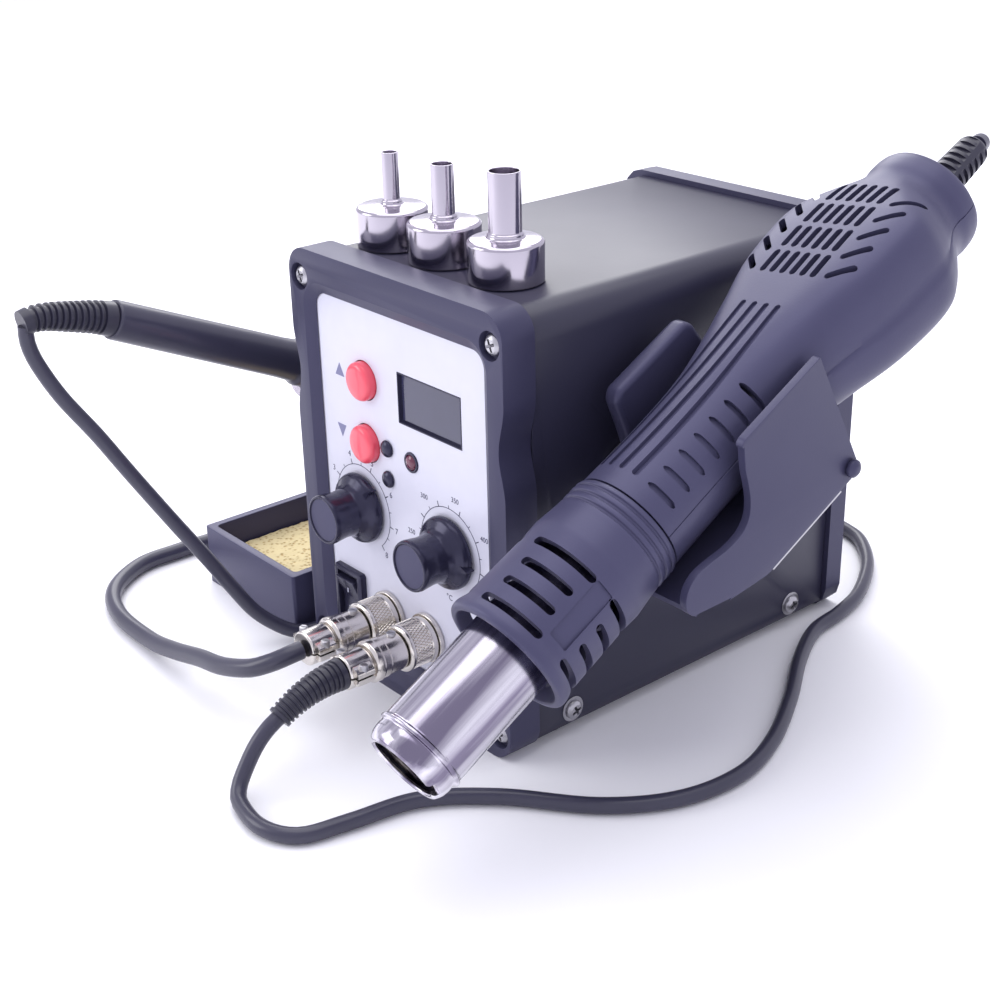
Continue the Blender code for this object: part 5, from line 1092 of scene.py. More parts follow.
intake_row = row_of_slots("intake_row", (-9.5 * mm, 173.5 * mm, 0), 6, (3.8 * mm, 0, 0),
                          math.pi / 2, 8.8 * mm, 2.3 * mm, 12 * mm, 24 * mm)
combine(handle, repeat("intake_slots", intake_row, 4, (0, 10.3 * mm, 0)))
for side in (1, -1):
    fan_first = (side * 16.8 * mm, 173 * mm, 0)
    combine(handle, row_of_slots(f"side_vents_{side}", fan_first, 5, (0, 7.5 * mm, 0),
                                 math.pi / 2 - side * math.radians(48), 9 * mm, 2.1 * mm,
                                 10 * mm, 24 * mm))

# %% [markdown]
# The grip has four long grooves on top and a ladder of short ones on each side. The long grooves
# follow the surface, so their cutter is bent through the same heights as the shell.

# %% Grip grooves
long_groove_pitch = 4.4 * mm
ladder_groove_width = 1.8 * mm


def long_groove(x):
    """A cutter that follows the shell's top at an even depth, with round ends."""
    depth, half = 0.9 * mm, 1.0 * mm
    start, end = 94, 158
    ends = [i / 6 for i in range(6)]
    places = [start + t for t in ends] + [start + 1 + i * (end - start - 2) / 36 for i in range(37)]
    places += [end - t for t in ends[::-1]]
    shape = bmesh.new()
    sections = []
    for along in places:
        from_end = min(along - start, end - along) * mm
        spread = half if from_end > half else math.sqrt(max(half ** 2 - (half - from_end) ** 2, 0))
        spread = max(spread, 0.05 * mm)
        _, width, height, _, squareness = section_at(handle_sections, along)
        share = min(abs(x) / (width * mm), 0.99)
        surface = height * mm * (1 - share ** squareness) ** (1 / squareness)
        sections.append([(x - spread, along * mm, surface - depth),
                         (x + spread, along * mm, surface - depth),
                         (x + spread, along * mm, surface + 3 * mm),
                         (x - spread, along * mm, surface + 3 * mm)])
    loft(shape, sections)
    return work_object(f"long_groove_{x:.4f}", shape)


def short_groove(across):
    """A cutter for one groove of a ladder, round at both ends."""
    shape = bmesh.new()
    inner, outer = 15.1 * mm, 21 * mm
    half = ladder_groove_width / 2
    steps = 10
    rows = []
    for i in range(steps + 1):
        angle = math.radians(16 + 34 * i / steps)
        last = max(0.0, abs(2 * i - steps) / 2 - steps / 2 + 2) / 2
        spread = half * math.sqrt(1 - 0.92 * last ** 2)
        rows.append([(across * inner * math.cos(angle), -spread, inner * math.sin(angle)),
                     (across * inner * math.cos(angle), spread, inner * math.sin(angle)),
                     (across * outer * math.cos(angle), spread, outer * math.sin(angle)),
                     (across * outer * math.cos(angle), -spread, outer * math.sin(angle))])
    loft(shape, rows)
    return work_object(f"short_groove_{across}", shape)


for column in range(4):
    combine(handle, long_groove((column - 1.5) * long_groove_pitch))
for side in (1, -1):
    combine(handle, repeat(f"ladder_{side}", short_groove(side), 7, (0, 6.3 * mm, 0), (0, 0, 0),
                           Matrix.Translation((0, 94.5 * mm, 0))))
move_work(handle, handle_place)
finish_piece("handle_shell", handle, handle_abs, "handle",
             ["handle_shell_top", "handle_shell_bottom"])

# %% [markdown]
# The guard in front of the grip is a moulded sleeve that keeps fingers off the hot tube. Four groups
# of slots let cool air in, one side has a plain recess, and three rings make the joint to the grip.

# %% Guard
guard_start = 38.5 * mm
guard_end = 88 * mm
guard_wall = 2.2 * mm
tube_radius = 12.5 * mm
guard_slot_width = 2.6 * mm
# Place along the axis in millimetres, and half the slot's reach in degrees
guard_slot_rows = ((44.3, 35), (51.0, 29), (57.8, 29), (64.6, 36))


def make_guard():
    """The sleeve with its rim, ring grooves, slots and recess."""
    outer = [(16.8 * mm, guard_start), (18.9 * mm, guard_start + 0.6 * mm),
             (19.1 * mm, guard_start + 2.6 * mm), (18.2 * mm, guard_start + 5.4 * mm),
             (17.7 * mm, 66 * mm), (18.0 * mm, 71 * mm), (17.2 * mm, 78 * mm)]
    for k in range(3):
        at = 80.2 * mm + k * 2.5 * mm
        outer += [(17.1 * mm, at), (16.5 * mm, at + 0.3 * mm), (16.5 * mm, at + 0.9 * mm),
                  (17.1 * mm, at + 1.2 * mm)]
    outer += [(16.6 * mm, guard_end)]
    hole = tube_radius + 0.3 * mm
    inner = [(hole, guard_end), (hole, 80 * mm), (17.7 * mm - guard_wall, 77 * mm),
             (18.0 * mm - guard_wall, guard_start + 5 * mm)]
    shape = bmesh.new()
    turned(shape, rounded_corners(outer + inner, 0.8 * mm), 144, "Y")
    work = work_object("guard_work", shape)
    for along, reach in guard_slot_rows:
        slot = bmesh.new()
        across = 17 * mm * math.sin(math.radians(reach))
        prism(slot, slot_outline((along * mm, 0), 2 * across, guard_slot_width, math.pi / 2),
              11.6 * mm, 22 * mm, "X")
        name = f"guard_slots_{along:.0f}"
        combine(work, repeat(name, work_object(name + "_item", slot), 4, (0, 0, 0),
                             (0, math.pi / 2, 0), Matrix.Rotation(math.radians(-60), 4, "Y")))
    recess = bmesh.new()
    prism(recess, rounded_box_outline(46.5 * mm, 65.5 * mm, -3.2 * mm, 3.2 * mm, 0.6 * mm),
          17.1 * mm, 22 * mm, "X")
    combine(work, work_object("recess", recess, Matrix.Rotation(math.radians(-15), 4, "Y")))
    return work


guard = make_guard()
move_work(guard, handle_place)
finish_piece("guard", guard, handle_abs, "handle", ["front_guard"])

# %% [markdown]
# The heater tube is drawn stainless steel. A bead is rolled near its mouth for the nozzles to grip,
# the lip is drawn in, and it is notched on one side where the nozzles lock.

# %% Heater tube
tube_end = 82 * mm
tube_wall = 0.8 * mm
shape = bmesh.new()
turned(shape, rounded_corners(
    [(10.0 * mm, 0), (11.0 * mm, 0.3 * mm), (12.0 * mm, 2.2 * mm), (12.3 * mm, 4.4 * mm),
     (12.1 * mm, 6.0 * mm), (13.1 * mm, 6.4 * mm), (13.1 * mm, 7.2 * mm),
     (tube_radius, 7.8 * mm), (tube_radius, tube_end),
     (tube_radius - tube_wall, tube_end), (tube_radius - tube_wall, 8 * mm), (11.2 * mm, 6 * mm),
     (10.8 * mm, 2.4 * mm), (9.4 * mm, 1.2 * mm), (9.3 * mm, 0.4 * mm)], 0.8 * mm, steps=6),
    128, "Y")
tube = work_object("tube_work", shape)
shape = bmesh.new()
block(shape, (9 * mm, -2 * mm, -2.5 * mm), (14 * mm, 1.6 * mm, 2.5 * mm))
combine(tube, work_object("lip_notch", shape, Matrix.Rotation(math.radians(20), 4, "Y")))
move_work(tube, handle_place)
finish_piece("heater_pipe", tube, tube_steel, "handle", ["heater_tube"])

# %% [markdown]
# The panel is a flat sheet behind the bezel's window, with a hole for each thing that it carries.
# The sheet is drawn with true round holes, so that the buttons and plugs sit in clean edges.

# %% Panel sheet
button_x = -17.3 * mm
up_button_z = 102 * mm
down_button_z = 81.8 * mm
button_radius = 6 * mm
display_x = 14 * mm
display_z = 101.2 * mm
display_width = 29.5 * mm
display_height = 16 * mm
plug_dot_x = -7 * mm
plug_dot_places = (83.1 * mm, 73.2 * mm)
plug_dot_radius = 2.7 * mm
light_x = 4.6 * mm
light_z = 82.2 * mm
light_radius = 2.4 * mm
knob_x = 21.5 * mm
knob_z = 59.3 * mm
switch_x = -30 * mm
switch_z = 24.5 * mm
socket_z = 26 * mm
socket_places = {"air": -10 * mm, "iron": 9.5 * mm}
thread_radius = 5.7 * mm


def panel_cutter():
    """Every hole of the panel as one work object."""
    shape = bmesh.new()
    rounds = [(button_x, up_button_z, button_radius + 0.3 * mm),
              (button_x, down_button_z, button_radius + 0.3 * mm),
              (light_x, light_z, light_radius + 0.3 * mm)]
    rounds += [(plug_dot_x, z, 2.1 * mm) for z in plug_dot_places]
    rounds += [(side * knob_x, knob_z, 3.4 * mm) for side in (-1, 1)]
    rounds += [(x, socket_z, thread_radius + 0.4 * mm) for x in socket_places.values()]
    low, high = panel_front - panel_wall, panel_front + 2 * panel_wall
    for x, z, radius in rounds:
        turned(shape, [(0, low), (radius, low), (radius, high), (0, high)], 64, "Y",
               Matrix.Translation((x, 0, z)))
    block(shape, (display_x - display_width / 2, low, display_z - display_height / 2),
          (display_x + display_width / 2, high, display_z + display_height / 2))
    block(shape, (switch_x - 6.6 * mm, low, switch_z - 9.6 * mm),
          (switch_x + 6.6 * mm, high, switch_z + 9.6 * mm))
    return work_object("panel_cutter", shape)


shape = bmesh.new()
prism(shape, rounded_box_outline(-window_half_width - panel_reach, window_half_width + panel_reach,
                                 window_low - panel_reach, window_high + panel_reach,
                                 window_corner), panel_front, panel_front + panel_wall, "Y")
panel = work_object("panel_work", shape)
combine(panel, panel_cutter())
finish_piece("panel_sheet", panel, panel_lacquer, "station", ["front_panel"])

# %% [markdown]
# The scales are screen printed. Each dial has an arc with long and short ticks and upright numerals.
# The ink is a skin a few hundredths thick, so it is drawn as thin plates that lie on the panel.

# %% Printed marks
ink_height = 0.05 * mm
dial_radius = 13.7 * mm
dial_reach = 140
face_front = Matrix.Rotation(math.pi / 2, 4, "X")


def on_panel(x, z):
    """A place on the panel's face, with x to the right and y up its face."""
    return Matrix.Translation((x, panel_front, z)) @ face_front


def print_arc(shape, radius, width, place):
    """The arc of a dial."""
    steps = 96
    outline = []
    for r, order in ((radius + width / 2, 1), (radius - width / 2, -1)):
        for i in range(steps + 1)[::order]:
            angle = math.radians(90 - dial_reach + 2 * dial_reach * i / steps)
            outline.append((r * math.cos(angle), r * math.sin(angle)))
    prism(shape, outline, 0, ink_height, "Z", place)


def dial_ticks(name, count, length, width, place):
    """Ticks spread evenly over a dial, as a work object."""
    tick = bmesh.new()
    block(tick, (-width / 2, dial_radius, 0), (width / 2, dial_radius + length, ink_height),
          Matrix.Rotation(math.radians(dial_reach), 4, "Z"))
    step = -math.radians(2 * dial_reach) / (count - 1)
    return repeat(name, work_object(name + "_item", tick), count, (0, 0, 0), (0, 0, step), place)


def numeral(shape, text, size, x, y, place):
    """A printed number, centred on a point of the dial."""
    data = bpy.data.curves.new(text, "FONT")
    data.body = text
    data.size = size
    data.align_x = "CENTER"
    data.align_y = "CENTER"
    data.extrude = ink_height / 2
    data.resolution_u = 4
    writing = bpy.data.objects.new(text, data)
    bpy.context.scene.collection.objects.link(writing)
    made = evaluated_mesh(writing)
    bpy.data.objects.remove(writing)
    made.transform(place @ Matrix.Translation((x, y, ink_height / 2)))
    shape.from_mesh(made)


# %% [markdown]
# Each dial starts and ends at the limits of its knob. The air dial counts from 1 to 8 and the other
# gives degrees. Longer numerals are set a little further out, so that they clear the ticks.

# %% Dials
long_ticks = 8
short_ticks = 15
coolest = 200


def print_dial(name, x, numerals, size):
    """One dial's print: arc, ticks and numerals."""
    place = on_panel(x, knob_z)
    shape = bmesh.new()
    print_arc(shape, dial_radius, 0.22 * mm, place)
    for text, angle in numerals:
        bend = math.radians(90 - angle)
        reach = dial_radius + 3.4 * mm + 0.3 * size * (len(text) - 1) * abs(math.cos(bend))
        numeral(shape, text, size, reach * math.cos(bend), reach * math.sin(bend), place)
    bmesh.ops.remove_doubles(shape, verts=shape.verts, dist=0.002 * mm)
    work = work_object(name + "_work", shape)
    join_works(work, [dial_ticks(name + "_major", long_ticks, 1.7 * mm, 0.28 * mm, place),
                      dial_ticks(name + "_minor", short_ticks, 1.0 * mm, 0.2 * mm, place)])
    finish_piece(name, work, panel_ink, "station", ())


air_step = 2 * dial_reach / (long_ticks - 1)
air_numerals = [(str(k + 1), air_step * k - dial_reach) for k in range(long_ticks)]
print_dial("air_dial_print", -knob_x, air_numerals, 2.7 * mm)
temp_numerals = [(str(t), t - coolest - dial_reach) for t in (200, 250, 300, 350, 400, 450, 480)]
print_dial("temp_dial_print", knob_x, temp_numerals, 2.3 * mm)

# %% [markdown]
# A grey triangle stands beside each button, and the unit stands under the temperature dial.

# %% Triangles and unit


def print_triangle(name, x, z, up):
    """A grey triangle that points up or down."""
    half, rise = 2.3 * mm, 2.1 * mm * up
    shape = bmesh.new()
    prism(shape, [(-half, -rise), (half, -rise), (0, rise)], 0, ink_height, "Z", on_panel(x, z))
    finish_piece(name, work_object(name + "_work", shape), grey_ink, "station", ())


print_triangle("up_mark", -29.8 * mm, 102.4 * mm, 1)
print_triangle("down_mark", -30.4 * mm, 82.2 * mm, -1)
shape = bmesh.new()
numeral(shape, "°C", 2.6 * mm, 0, 0, on_panel(20.4 * mm, 43.6 * mm))
bmesh.ops.remove_doubles(shape, verts=shape.verts, dist=0.002 * mm)
finish_piece("unit_print", work_object("unit_work", shape), panel_ink, "station", ())

# %% [markdown]
# The push buttons are moulded caps with a shallow dome and a narrow round edge. The small plugs close
# the calibration holes, and the heater lamp is a domed lens in a thin ring.

# %% Buttons, plugs and lamp
for name, z in (("up_button", up_button_z), ("down_button", down_button_z)):
    shape = bmesh.new()
    turned(shape, rounded_corners(
        [(0, -3.6 * mm), (2.6 * mm, -3.54 * mm), (4.4 * mm, -3.3 * mm), (5.3 * mm, -2.95 * mm),
         (button_radius, -2.1 * mm), (button_radius, 2.6 * mm), (2.2 * mm, 2.6 * mm),
         (2.2 * mm, 8.4 * mm), (0, 8.4 * mm)], 0.7 * mm, closed=False), 72, "Y",
        Matrix.Translation((button_x, panel_front, z)))
    finish_piece(name + "_cap", work_object(name + "_work", shape), button_acrylic, name, [name])

for name, z in zip(("calibration_plug_high", "calibration_plug_low"), plug_dot_places):
    shape = bmesh.new()
    dome = [(plug_dot_radius * math.sin(a), -0.3 * mm - 1.5 * mm * math.cos(a))
            for a in (math.pi / 2 * i / 10 for i in range(11))]
    turned(shape, [(0, dome[0][1])] + dome[1:] + [(1.8 * mm, -0.3 * mm), (1.8 * mm, 4 * mm),
                                                  (0, 4 * mm)], 48, "Y",
           Matrix.Translation((plug_dot_x, panel_front, z)))
    finish_piece(name + "_dome", work_object(name + "_work", shape), glossy_abs, "station", [name])

shape = bmesh.new()
dome = [(light_radius * math.sin(a), -1.3 * mm * math.cos(a))
        for a in (math.pi / 2 * i / 10 for i in range(11))]
turned(shape, dome + [(light_radius, 4 * mm), (2.9 * mm, 4 * mm), (2.9 * mm, 13 * mm),
                      (0, 13 * mm)], 48, "Y", Matrix.Translation((light_x, panel_front, light_z)))
finish_piece("lamp_lens", work_object("lens_work", shape), lamp_acrylic, "station",
             ["heater_light"])
shape = bmesh.new()
turned(shape, rounded_corners([(2.45 * mm, 0.1 * mm), (2.45 * mm, -0.5 * mm), (3.1 * mm, -0.5 * mm),
                               (3.3 * mm, 0.0)], 0.2 * mm), 48, "Y",
       Matrix.Translation((light_x, panel_front, light_z)))
finish_piece("lamp_ring", work_object("lamp_ring_work", shape), glossy_abs, "station", ())

# %% [markdown]
# The display looks out through a smoked window. It lies a little behind the sheet, in a dark frame
# whose sides slope in, so the near sides show as a dark line.

# %% Display
half_width, half_height = display_width / 2, display_height / 2


def display_ring(spread, y):
    """A rectangle round the display's middle."""
    wide, high = half_width + spread, half_height + spread
    return [(display_x + x * wide, y, display_z + z * high)
            for x, z in ((1, 1), (-1, 1), (-1, -1), (1, -1))]


shape = bmesh.new()
loft(shape, [display_ring(-0.1 * mm, panel_front - 0.1 * mm),
             display_ring(-0.45 * mm, panel_front - 0.1 * mm),
             display_ring(-1.1 * mm, panel_front + 1.2 * mm),
             display_ring(-0.1 * mm, panel_front + 1.2 * mm)], loop=True)
finish_piece("display_frame", work_object("display_frame_work", shape), glossy_abs, "station", ())
shape = bmesh.new()
loft(shape, [display_ring(-0.9 * mm, panel_front + 1.0 * mm),
             display_ring(-0.9 * mm, panel_front + 3.3 * mm),
             display_ring(1 * mm, panel_front + 3.3 * mm),
             display_ring(1 * mm, panel_front + 15.2 * mm)])
finish_piece("display_window", work_object("display_work", shape), window_acrylic, "station",
             ["display_module"])

# %% [markdown]
# The knobs are glossy mouldings: a conical skirt with a pointer at its rim, and a barrel that is
# slightly waisted for the fingers. A satin disc closes the top inside a thin raised ring.

# %% Knobs


def make_knob(name, x, angle):
    """One knob with its pointer and its top disc."""
    place = Matrix.Translation((x, panel_front, knob_z))
    shape = bmesh.new()
    turned(shape, rounded_corners(
        [(0, -14.9 * mm), (6.9 * mm, -14.9 * mm), (6.9 * mm, -15.4 * mm), (7.6 * mm, -15.4 * mm),
         (7.9 * mm, -14.2 * mm), (7.35 * mm, -9.5 * mm), (7.5 * mm, -6.4 * mm), (8.5 * mm, -4.9 * mm),
         (10.7 * mm, -3.4 * mm), (11.3 * mm, -2.2 * mm), (11.3 * mm, -0.8 * mm), (3 * mm, -0.8 * mm),
         (3 * mm, 6 * mm), (0, 6 * mm)], 0.55 * mm, closed=False), 96, "Y", place)
    work = work_object(name + "_work", shape)
    pointer = bmesh.new()
    prism(pointer, [(-1.5 * mm, 7.2 * mm), (1.5 * mm, 7.2 * mm), (0.25 * mm, 12.5 * mm),
                    (-0.25 * mm, 12.5 * mm)], -4.2 * mm, -1.2 * mm, "Y",
          place @ Matrix.Rotation(angle, 4, "Y"))
    combine(work, work_object(name + "_pointer", pointer), "UNION")
    finish_piece(name + "_body", work, glossy_abs, name, [name])
    shape = bmesh.new()
    turned(shape, rounded_corners([(0, -15.0 * mm), (6.7 * mm, -15.0 * mm), (6.7 * mm, -14.5 * mm),
                                   (0, -14.5 * mm)], 0.15 * mm, closed=False), 72, "Y", place)
    finish_piece(name + "_disc", work_object(name + "_disc_work", shape), satin_disc, name, ())


make_knob("air_knob", -knob_x, math.radians(45))
make_knob("temp_knob", knob_x, math.radians(96))

# %% [markdown]
# The mains switch is a rocker in a snap-in frame. The rocker's two faces meet in a shallow V over its
# axle, and it carries a ring and a bar as its only marks.

# %% Mains switch
shape = bmesh.new()
sections = []
for y, shrink in ((0, 0), (-1.1 * mm, 0), (-1.9 * mm, 0.25 * mm), (-2.2 * mm, 0.8 * mm)):
    outline = rounded_box_outline(switch_x - 7.5 * mm + shrink, switch_x + 7.5 * mm - shrink,
                                  switch_z - 10.5 * mm + shrink, switch_z + 10.5 * mm - shrink,
                                  1.2 * mm)
    sections.append([(a, panel_front + y, b) for a, b in outline])
loft(shape, sections)
switch_frame = work_object("switch_frame_work", shape)
shape = bmesh.new()
block(shape, (switch_x - 6.3 * mm, panel_front - 0.5 * mm, switch_z - 9.3 * mm),
      (switch_x + 6.3 * mm, panel_front + 15 * mm, switch_z + 9.3 * mm))
combine(switch_frame, work_object("switch_body", shape), "UNION")
shape = bmesh.new()
block(shape, (switch_x - 5.2 * mm, panel_front - 4 * mm, switch_z - 8.8 * mm),
      (switch_x + 5.2 * mm, panel_front + 9 * mm, switch_z + 8.8 * mm))
combine(switch_frame, work_object("switch_well", shape))
finish_piece("switch_frame", switch_frame, glossy_abs, "station", ["power_switch_frame"])

rocker_place = (Matrix.Translation((switch_x, panel_front + 0.6 * mm, switch_z))
                @ Matrix.Rotation(math.radians(9), 4, "X"))
rocker_rise, rocker_dip = 3.0 * mm, 1.3 * mm
shape = bmesh.new()
half = 7.8 * mm
prism(shape, [(-rocker_rise, half), (-rocker_dip, 0.4 * mm), (-rocker_dip, -0.4 * mm),
              (-rocker_rise, -half), (0.8 * mm, -half + 0.3 * mm), (5 * mm, -2.6 * mm),
              (5 * mm, 2.6 * mm), (0.8 * mm, half - 0.3 * mm)], -4.8 * mm, 4.8 * mm, "X",
      rocker_place)
rocker = work_object("rocker_work", shape)
soften(rocker, 0.35 * mm, 3)
finish_piece("rocker", rocker, glossy_abs, "power_rocker", ["power_rocker"])
slope = math.atan2(rocker_rise - rocker_dip, half)
middle = half / 2
on_lower = (rocker_place @ Matrix.Translation((0, -(rocker_rise + rocker_dip) / 2, -middle))
            @ Matrix.Rotation(slope, 4, "X") @ face_front)
on_upper = (rocker_place @ Matrix.Translation((0, -(rocker_rise + rocker_dip) / 2, middle))
            @ Matrix.Rotation(-slope, 4, "X") @ face_front)
shape = bmesh.new()
turned(shape, [(1.05 * mm, -0.05 * mm), (1.4 * mm, -0.05 * mm), (1.4 * mm, 0.06 * mm),
               (1.05 * mm, 0.06 * mm)], 48, "Z", on_lower)
block(shape, (-0.18 * mm, -1.3 * mm, -0.05 * mm), (0.18 * mm, 1.3 * mm, 0.06 * mm), on_upper)
finish_piece("rocker_marks", work_object("marks_work", shape), switch_mark_ink, "power_rocker", ())

# %% [markdown]
# The cords plug into round screw sockets, which are turned brass with nickel plate. Each has a flange
# and a nut on the panel, and a thread for the ring of the plug.

# %% Sockets


def make_socket(name, place):
    """The socket of one connector, from its mouth to its rear end."""
    shape = bmesh.new()
    turned(shape, rounded_corners(
        [(0, -8 * mm), (thread_radius, -8 * mm), (thread_radius, -1.7 * mm), (7.9 * mm, -1.7 * mm),
         (7.9 * mm, -0.2 * mm), (thread_radius, -0.2 * mm), (thread_radius, 1.9 * mm),
         (8.3 * mm, 1.9 * mm), (8.3 * mm, 4.3 * mm), (thread_radius, 4.3 * mm),
         (thread_radius, 12 * mm), (0, 12 * mm)], 0.3 * mm, closed=False), 72, "Y", place)
    finish_piece(name + "_socket_body", work_object(name + "_socket_work", shape), nickel_plate,
                 "station", [name + "_socket"])


# %% [markdown]
# A coupling ring pulls the plug on to its socket. It has a diamond knurl between two plain rims. The
# knurl is drawn as a smooth ring with two sets of helical ridges that cross.

# %% Coupling rings
ring_radius = 7.3 * mm
ring_front = -2.0 * mm
ring_back = -12.0 * mm
knurl_count = 44


def knurl(name, hand, place):
    """A ring of helical ridges round the Y axis, leaning to one hand, as a work object."""
    ridge = bmesh.new()
    sections = []
    low, high, lean = ring_back + 2.0 * mm, ring_front - 2.1 * mm, math.radians(24)
    for i in range(7):
        share = i / 6
        y = low + (high - low) * share
        section = []
        for spread, radius in ((-0.03, ring_radius - 0.3 * mm), (0.0, ring_radius + 0.02 * mm),
                               (0.03, ring_radius - 0.3 * mm)):
            angle = hand * lean * share + spread
            section.append((radius * math.sin(angle), y, radius * math.cos(angle)))
        sections.append(section)
    loft(ridge, sections)
    return repeat(name, work_object(name + "_ridge", ridge), knurl_count, (0, 0, 0),
                  (0, full_turn / knurl_count, 0), place)


def make_ring(name, place):
    """The coupling ring of one connector."""
    shape = bmesh.new()
    bore = thread_radius + 0.4 * mm
    turned(shape, rounded_corners(
        [(bore, ring_front), (ring_radius, ring_front), (ring_radius, ring_front - 1.7 * mm),
         (ring_radius - 0.25 * mm, ring_front - 2.0 * mm),
         (ring_radius - 0.25 * mm, ring_back + 1.9 * mm), (ring_radius + 0.1 * mm, ring_back + 1.6 * mm),
         (ring_radius + 0.1 * mm, ring_back + 0.5 * mm), (ring_radius - 0.6 * mm, ring_back),
         (5.1 * mm, ring_back), (5.1 * mm, ring_back + 1.4 * mm), (bore, ring_back + 1.4 * mm)],
        0.25 * mm), 96, "Y", place)
    ring = work_object(name + "_ring_work", shape)
    join_works(ring, [knurl(f"{name}_knurl_{hand}", hand, place) for hand in (1, -1)])
    finish_piece(name + "_knurled_ring", ring, nickel_plate, name + "_ring", [name + "_plug_ring"])


# %% [markdown]
# The plug's body is turned and polished, and ends in a clamp: a split collar with an ear on each side.
# It is revolved from one profile, the ears are joined to it, and a saw cut splits it.

# %% Plug bodies
plug_radius = 6.0 * mm
clamp_end = -33 * mm


def make_plug(name, place):
    """The plug body of one connector, with its clamp."""
    shape = bmesh.new()
    turned(shape, rounded_corners(
        [(0, -8.3 * mm), (thread_radius, -8.3 * mm), (thread_radius, -10.2 * mm),
         (4.6 * mm, -10.2 * mm), (4.6 * mm, -12.4 * mm), (plug_radius, -12.4 * mm),
         (plug_radius, -18.4 * mm), (6.3 * mm, -18.7 * mm), (6.3 * mm, -21.0 * mm),
         (6.6 * mm, -21.3 * mm), (6.6 * mm, -23.2 * mm), (5.9 * mm, -24.0 * mm), (4.5 * mm, -24.1 * mm),
         (4.5 * mm, -24.9 * mm), (5.5 * mm, -25.0 * mm), (5.5 * mm, clamp_end + 0.4 * mm),
         (5.1 * mm, clamp_end), (0, clamp_end)], 0.3 * mm, closed=False), 96, "Y", place)
    plug = work_object(name + "_plug_work", shape)
    ears = bmesh.new()
    for side in (-1, 1):
        prism(ears, rounded_corners([(side * 4 * mm, -2.3 * mm), (side * 7.2 * mm, -2.3 * mm),
                                     (side * 7.2 * mm, 2.0 * mm), (side * 4 * mm, 3.6 * mm)],
                                    0.8 * mm),
              clamp_end + 1.2 * mm, clamp_end + 7.2 * mm, "Y", place)
    combine(plug, work_object(name + "_ears", ears), "UNION")
    saw = bmesh.new()
    block(saw, (-9 * mm, clamp_end - 1 * mm, -0.3 * mm), (-4.3 * mm, clamp_end + 7.4 * mm, 0.3 * mm),
          place)
    block(saw, (4.3 * mm, clamp_end - 1 * mm, -0.3 * mm), (9 * mm, clamp_end + 7.4 * mm, 0.3 * mm),
          place)
    combine(plug, work_object(name + "_clamp_saw", saw))
    finish_piece(name + "_plug_body", plug, nickel_plate, "station", [name + "_plug"])


# %% [markdown]
# Each plug has a set screw on top and two screws in the ears that pull its clamp on to the cord. They
# have low cylindrical heads with a sawn slot.

# %% Plug screws


def cheese_head(shape, radius, height, place):
    """A low cylindrical head on its shank, before its slot is cut. Its axis is along Z."""
    outline = rounded_corners([(0, height), (radius, height), (radius, -1.5 * mm), (0, -1.5 * mm)],
                              0.25 * mm, closed=False)
    turned(shape, outline, 36, "Z", place)


def make_plug_screws(name, place):
    """The three screws of one plug."""
    shape = bmesh.new()
    cheese_head(shape, 1.5 * mm, 0.8 * mm,
                place @ Matrix.Translation((0, -14.3 * mm, plug_radius - 0.1 * mm)))
    for side in (-1, 1):
        cheese_head(shape, 1.35 * mm, 1.1 * mm,
                    place @ Matrix.Translation((side * 5.8 * mm, clamp_end + 4.2 * mm, 2.7 * mm)))
    screws = work_object(name + "_screws_work", shape)
    slots = bmesh.new()
    for at, z in (((0, -14.3 * mm), plug_radius + 0.4 * mm),
                  ((5.8 * mm, clamp_end + 4.2 * mm), 3.4 * mm),
                  ((-5.8 * mm, clamp_end + 4.2 * mm), 3.4 * mm)):
        block(slots, (-2 * mm, -0.22 * mm, z), (2 * mm, 0.22 * mm, z + 2 * mm),
              place @ Matrix.Translation((*at, 0)) @ Matrix.Rotation(0.5, 4, "Z"))
    combine(screws, work_object(name + "_screw_slots", slots))
    finish_piece(name + "_plug_screws", screws, zinc_plate, "station", ())


for name, x in socket_places.items():
    place = Matrix.Translation((x, panel_front, socket_z))
    make_socket(name, place)
    make_ring(name, place)
    make_plug(name, place)
    make_plug_screws(name, place)

# %% [markdown]
# Each boot is one PVC moulding: fine ribs round a tapering sleeve that bends with its cord. The ribs
# are drawn into the radius along the sleeve's path, a rib and a groove in turn.

# %% Boots


def ribbed_radii(path, start, end, ribs, depth, plain):
    """Radii along a path: a taper with square ribs between two plain ends."""
    radii = []
    last = len(path) - 1
    for k in range(last + 1):
        share = k / last
        outer = start + (end - start) * share
        inside = plain < share < 1 - plain
        turn_share = (share - plain) / (1 - 2 * plain) * ribs % 1
        in_groove = inside and turn_share > 0.42
        radii.append(outer - depth if in_groove else outer)
    return radii


def make_boot(name, path, radii, body, stands_for):
    """A ribbed boot along a path."""
    shape = bmesh.new()
    sweep(shape, path, radii, 40)
    finish_piece(name, work_object(name + "_work", shape), boot_vinyl, body, stands_for)


plug_boot_path = smooth_path(
    [(socket_places["iron"], panel_front + clamp_end - 0.2 * mm + along * mm, socket_z + drop * mm)
     for along, drop in ((0, 0), (-7, -0.5), (-14, -2.2), (-20, -4.9), (-22, -6.1))], 0.22 * mm)
make_boot("iron_plug_sleeve", plug_boot_path,
          ribbed_radii(plug_boot_path, 5.0 * mm, 3.7 * mm, 13, 0.6 * mm, 0.05), "station",
          ["iron_plug_boot"])
iron_boot_path = smooth_path([iron_point(p) for p in iron_boot_route], 0.25 * mm)
make_boot("iron_sleeve", iron_boot_path,
          ribbed_radii(iron_boot_path, 5.5 * mm, 3.9 * mm, 12, 0.9 * mm, 0.1), "iron",
          ["iron_boot"])

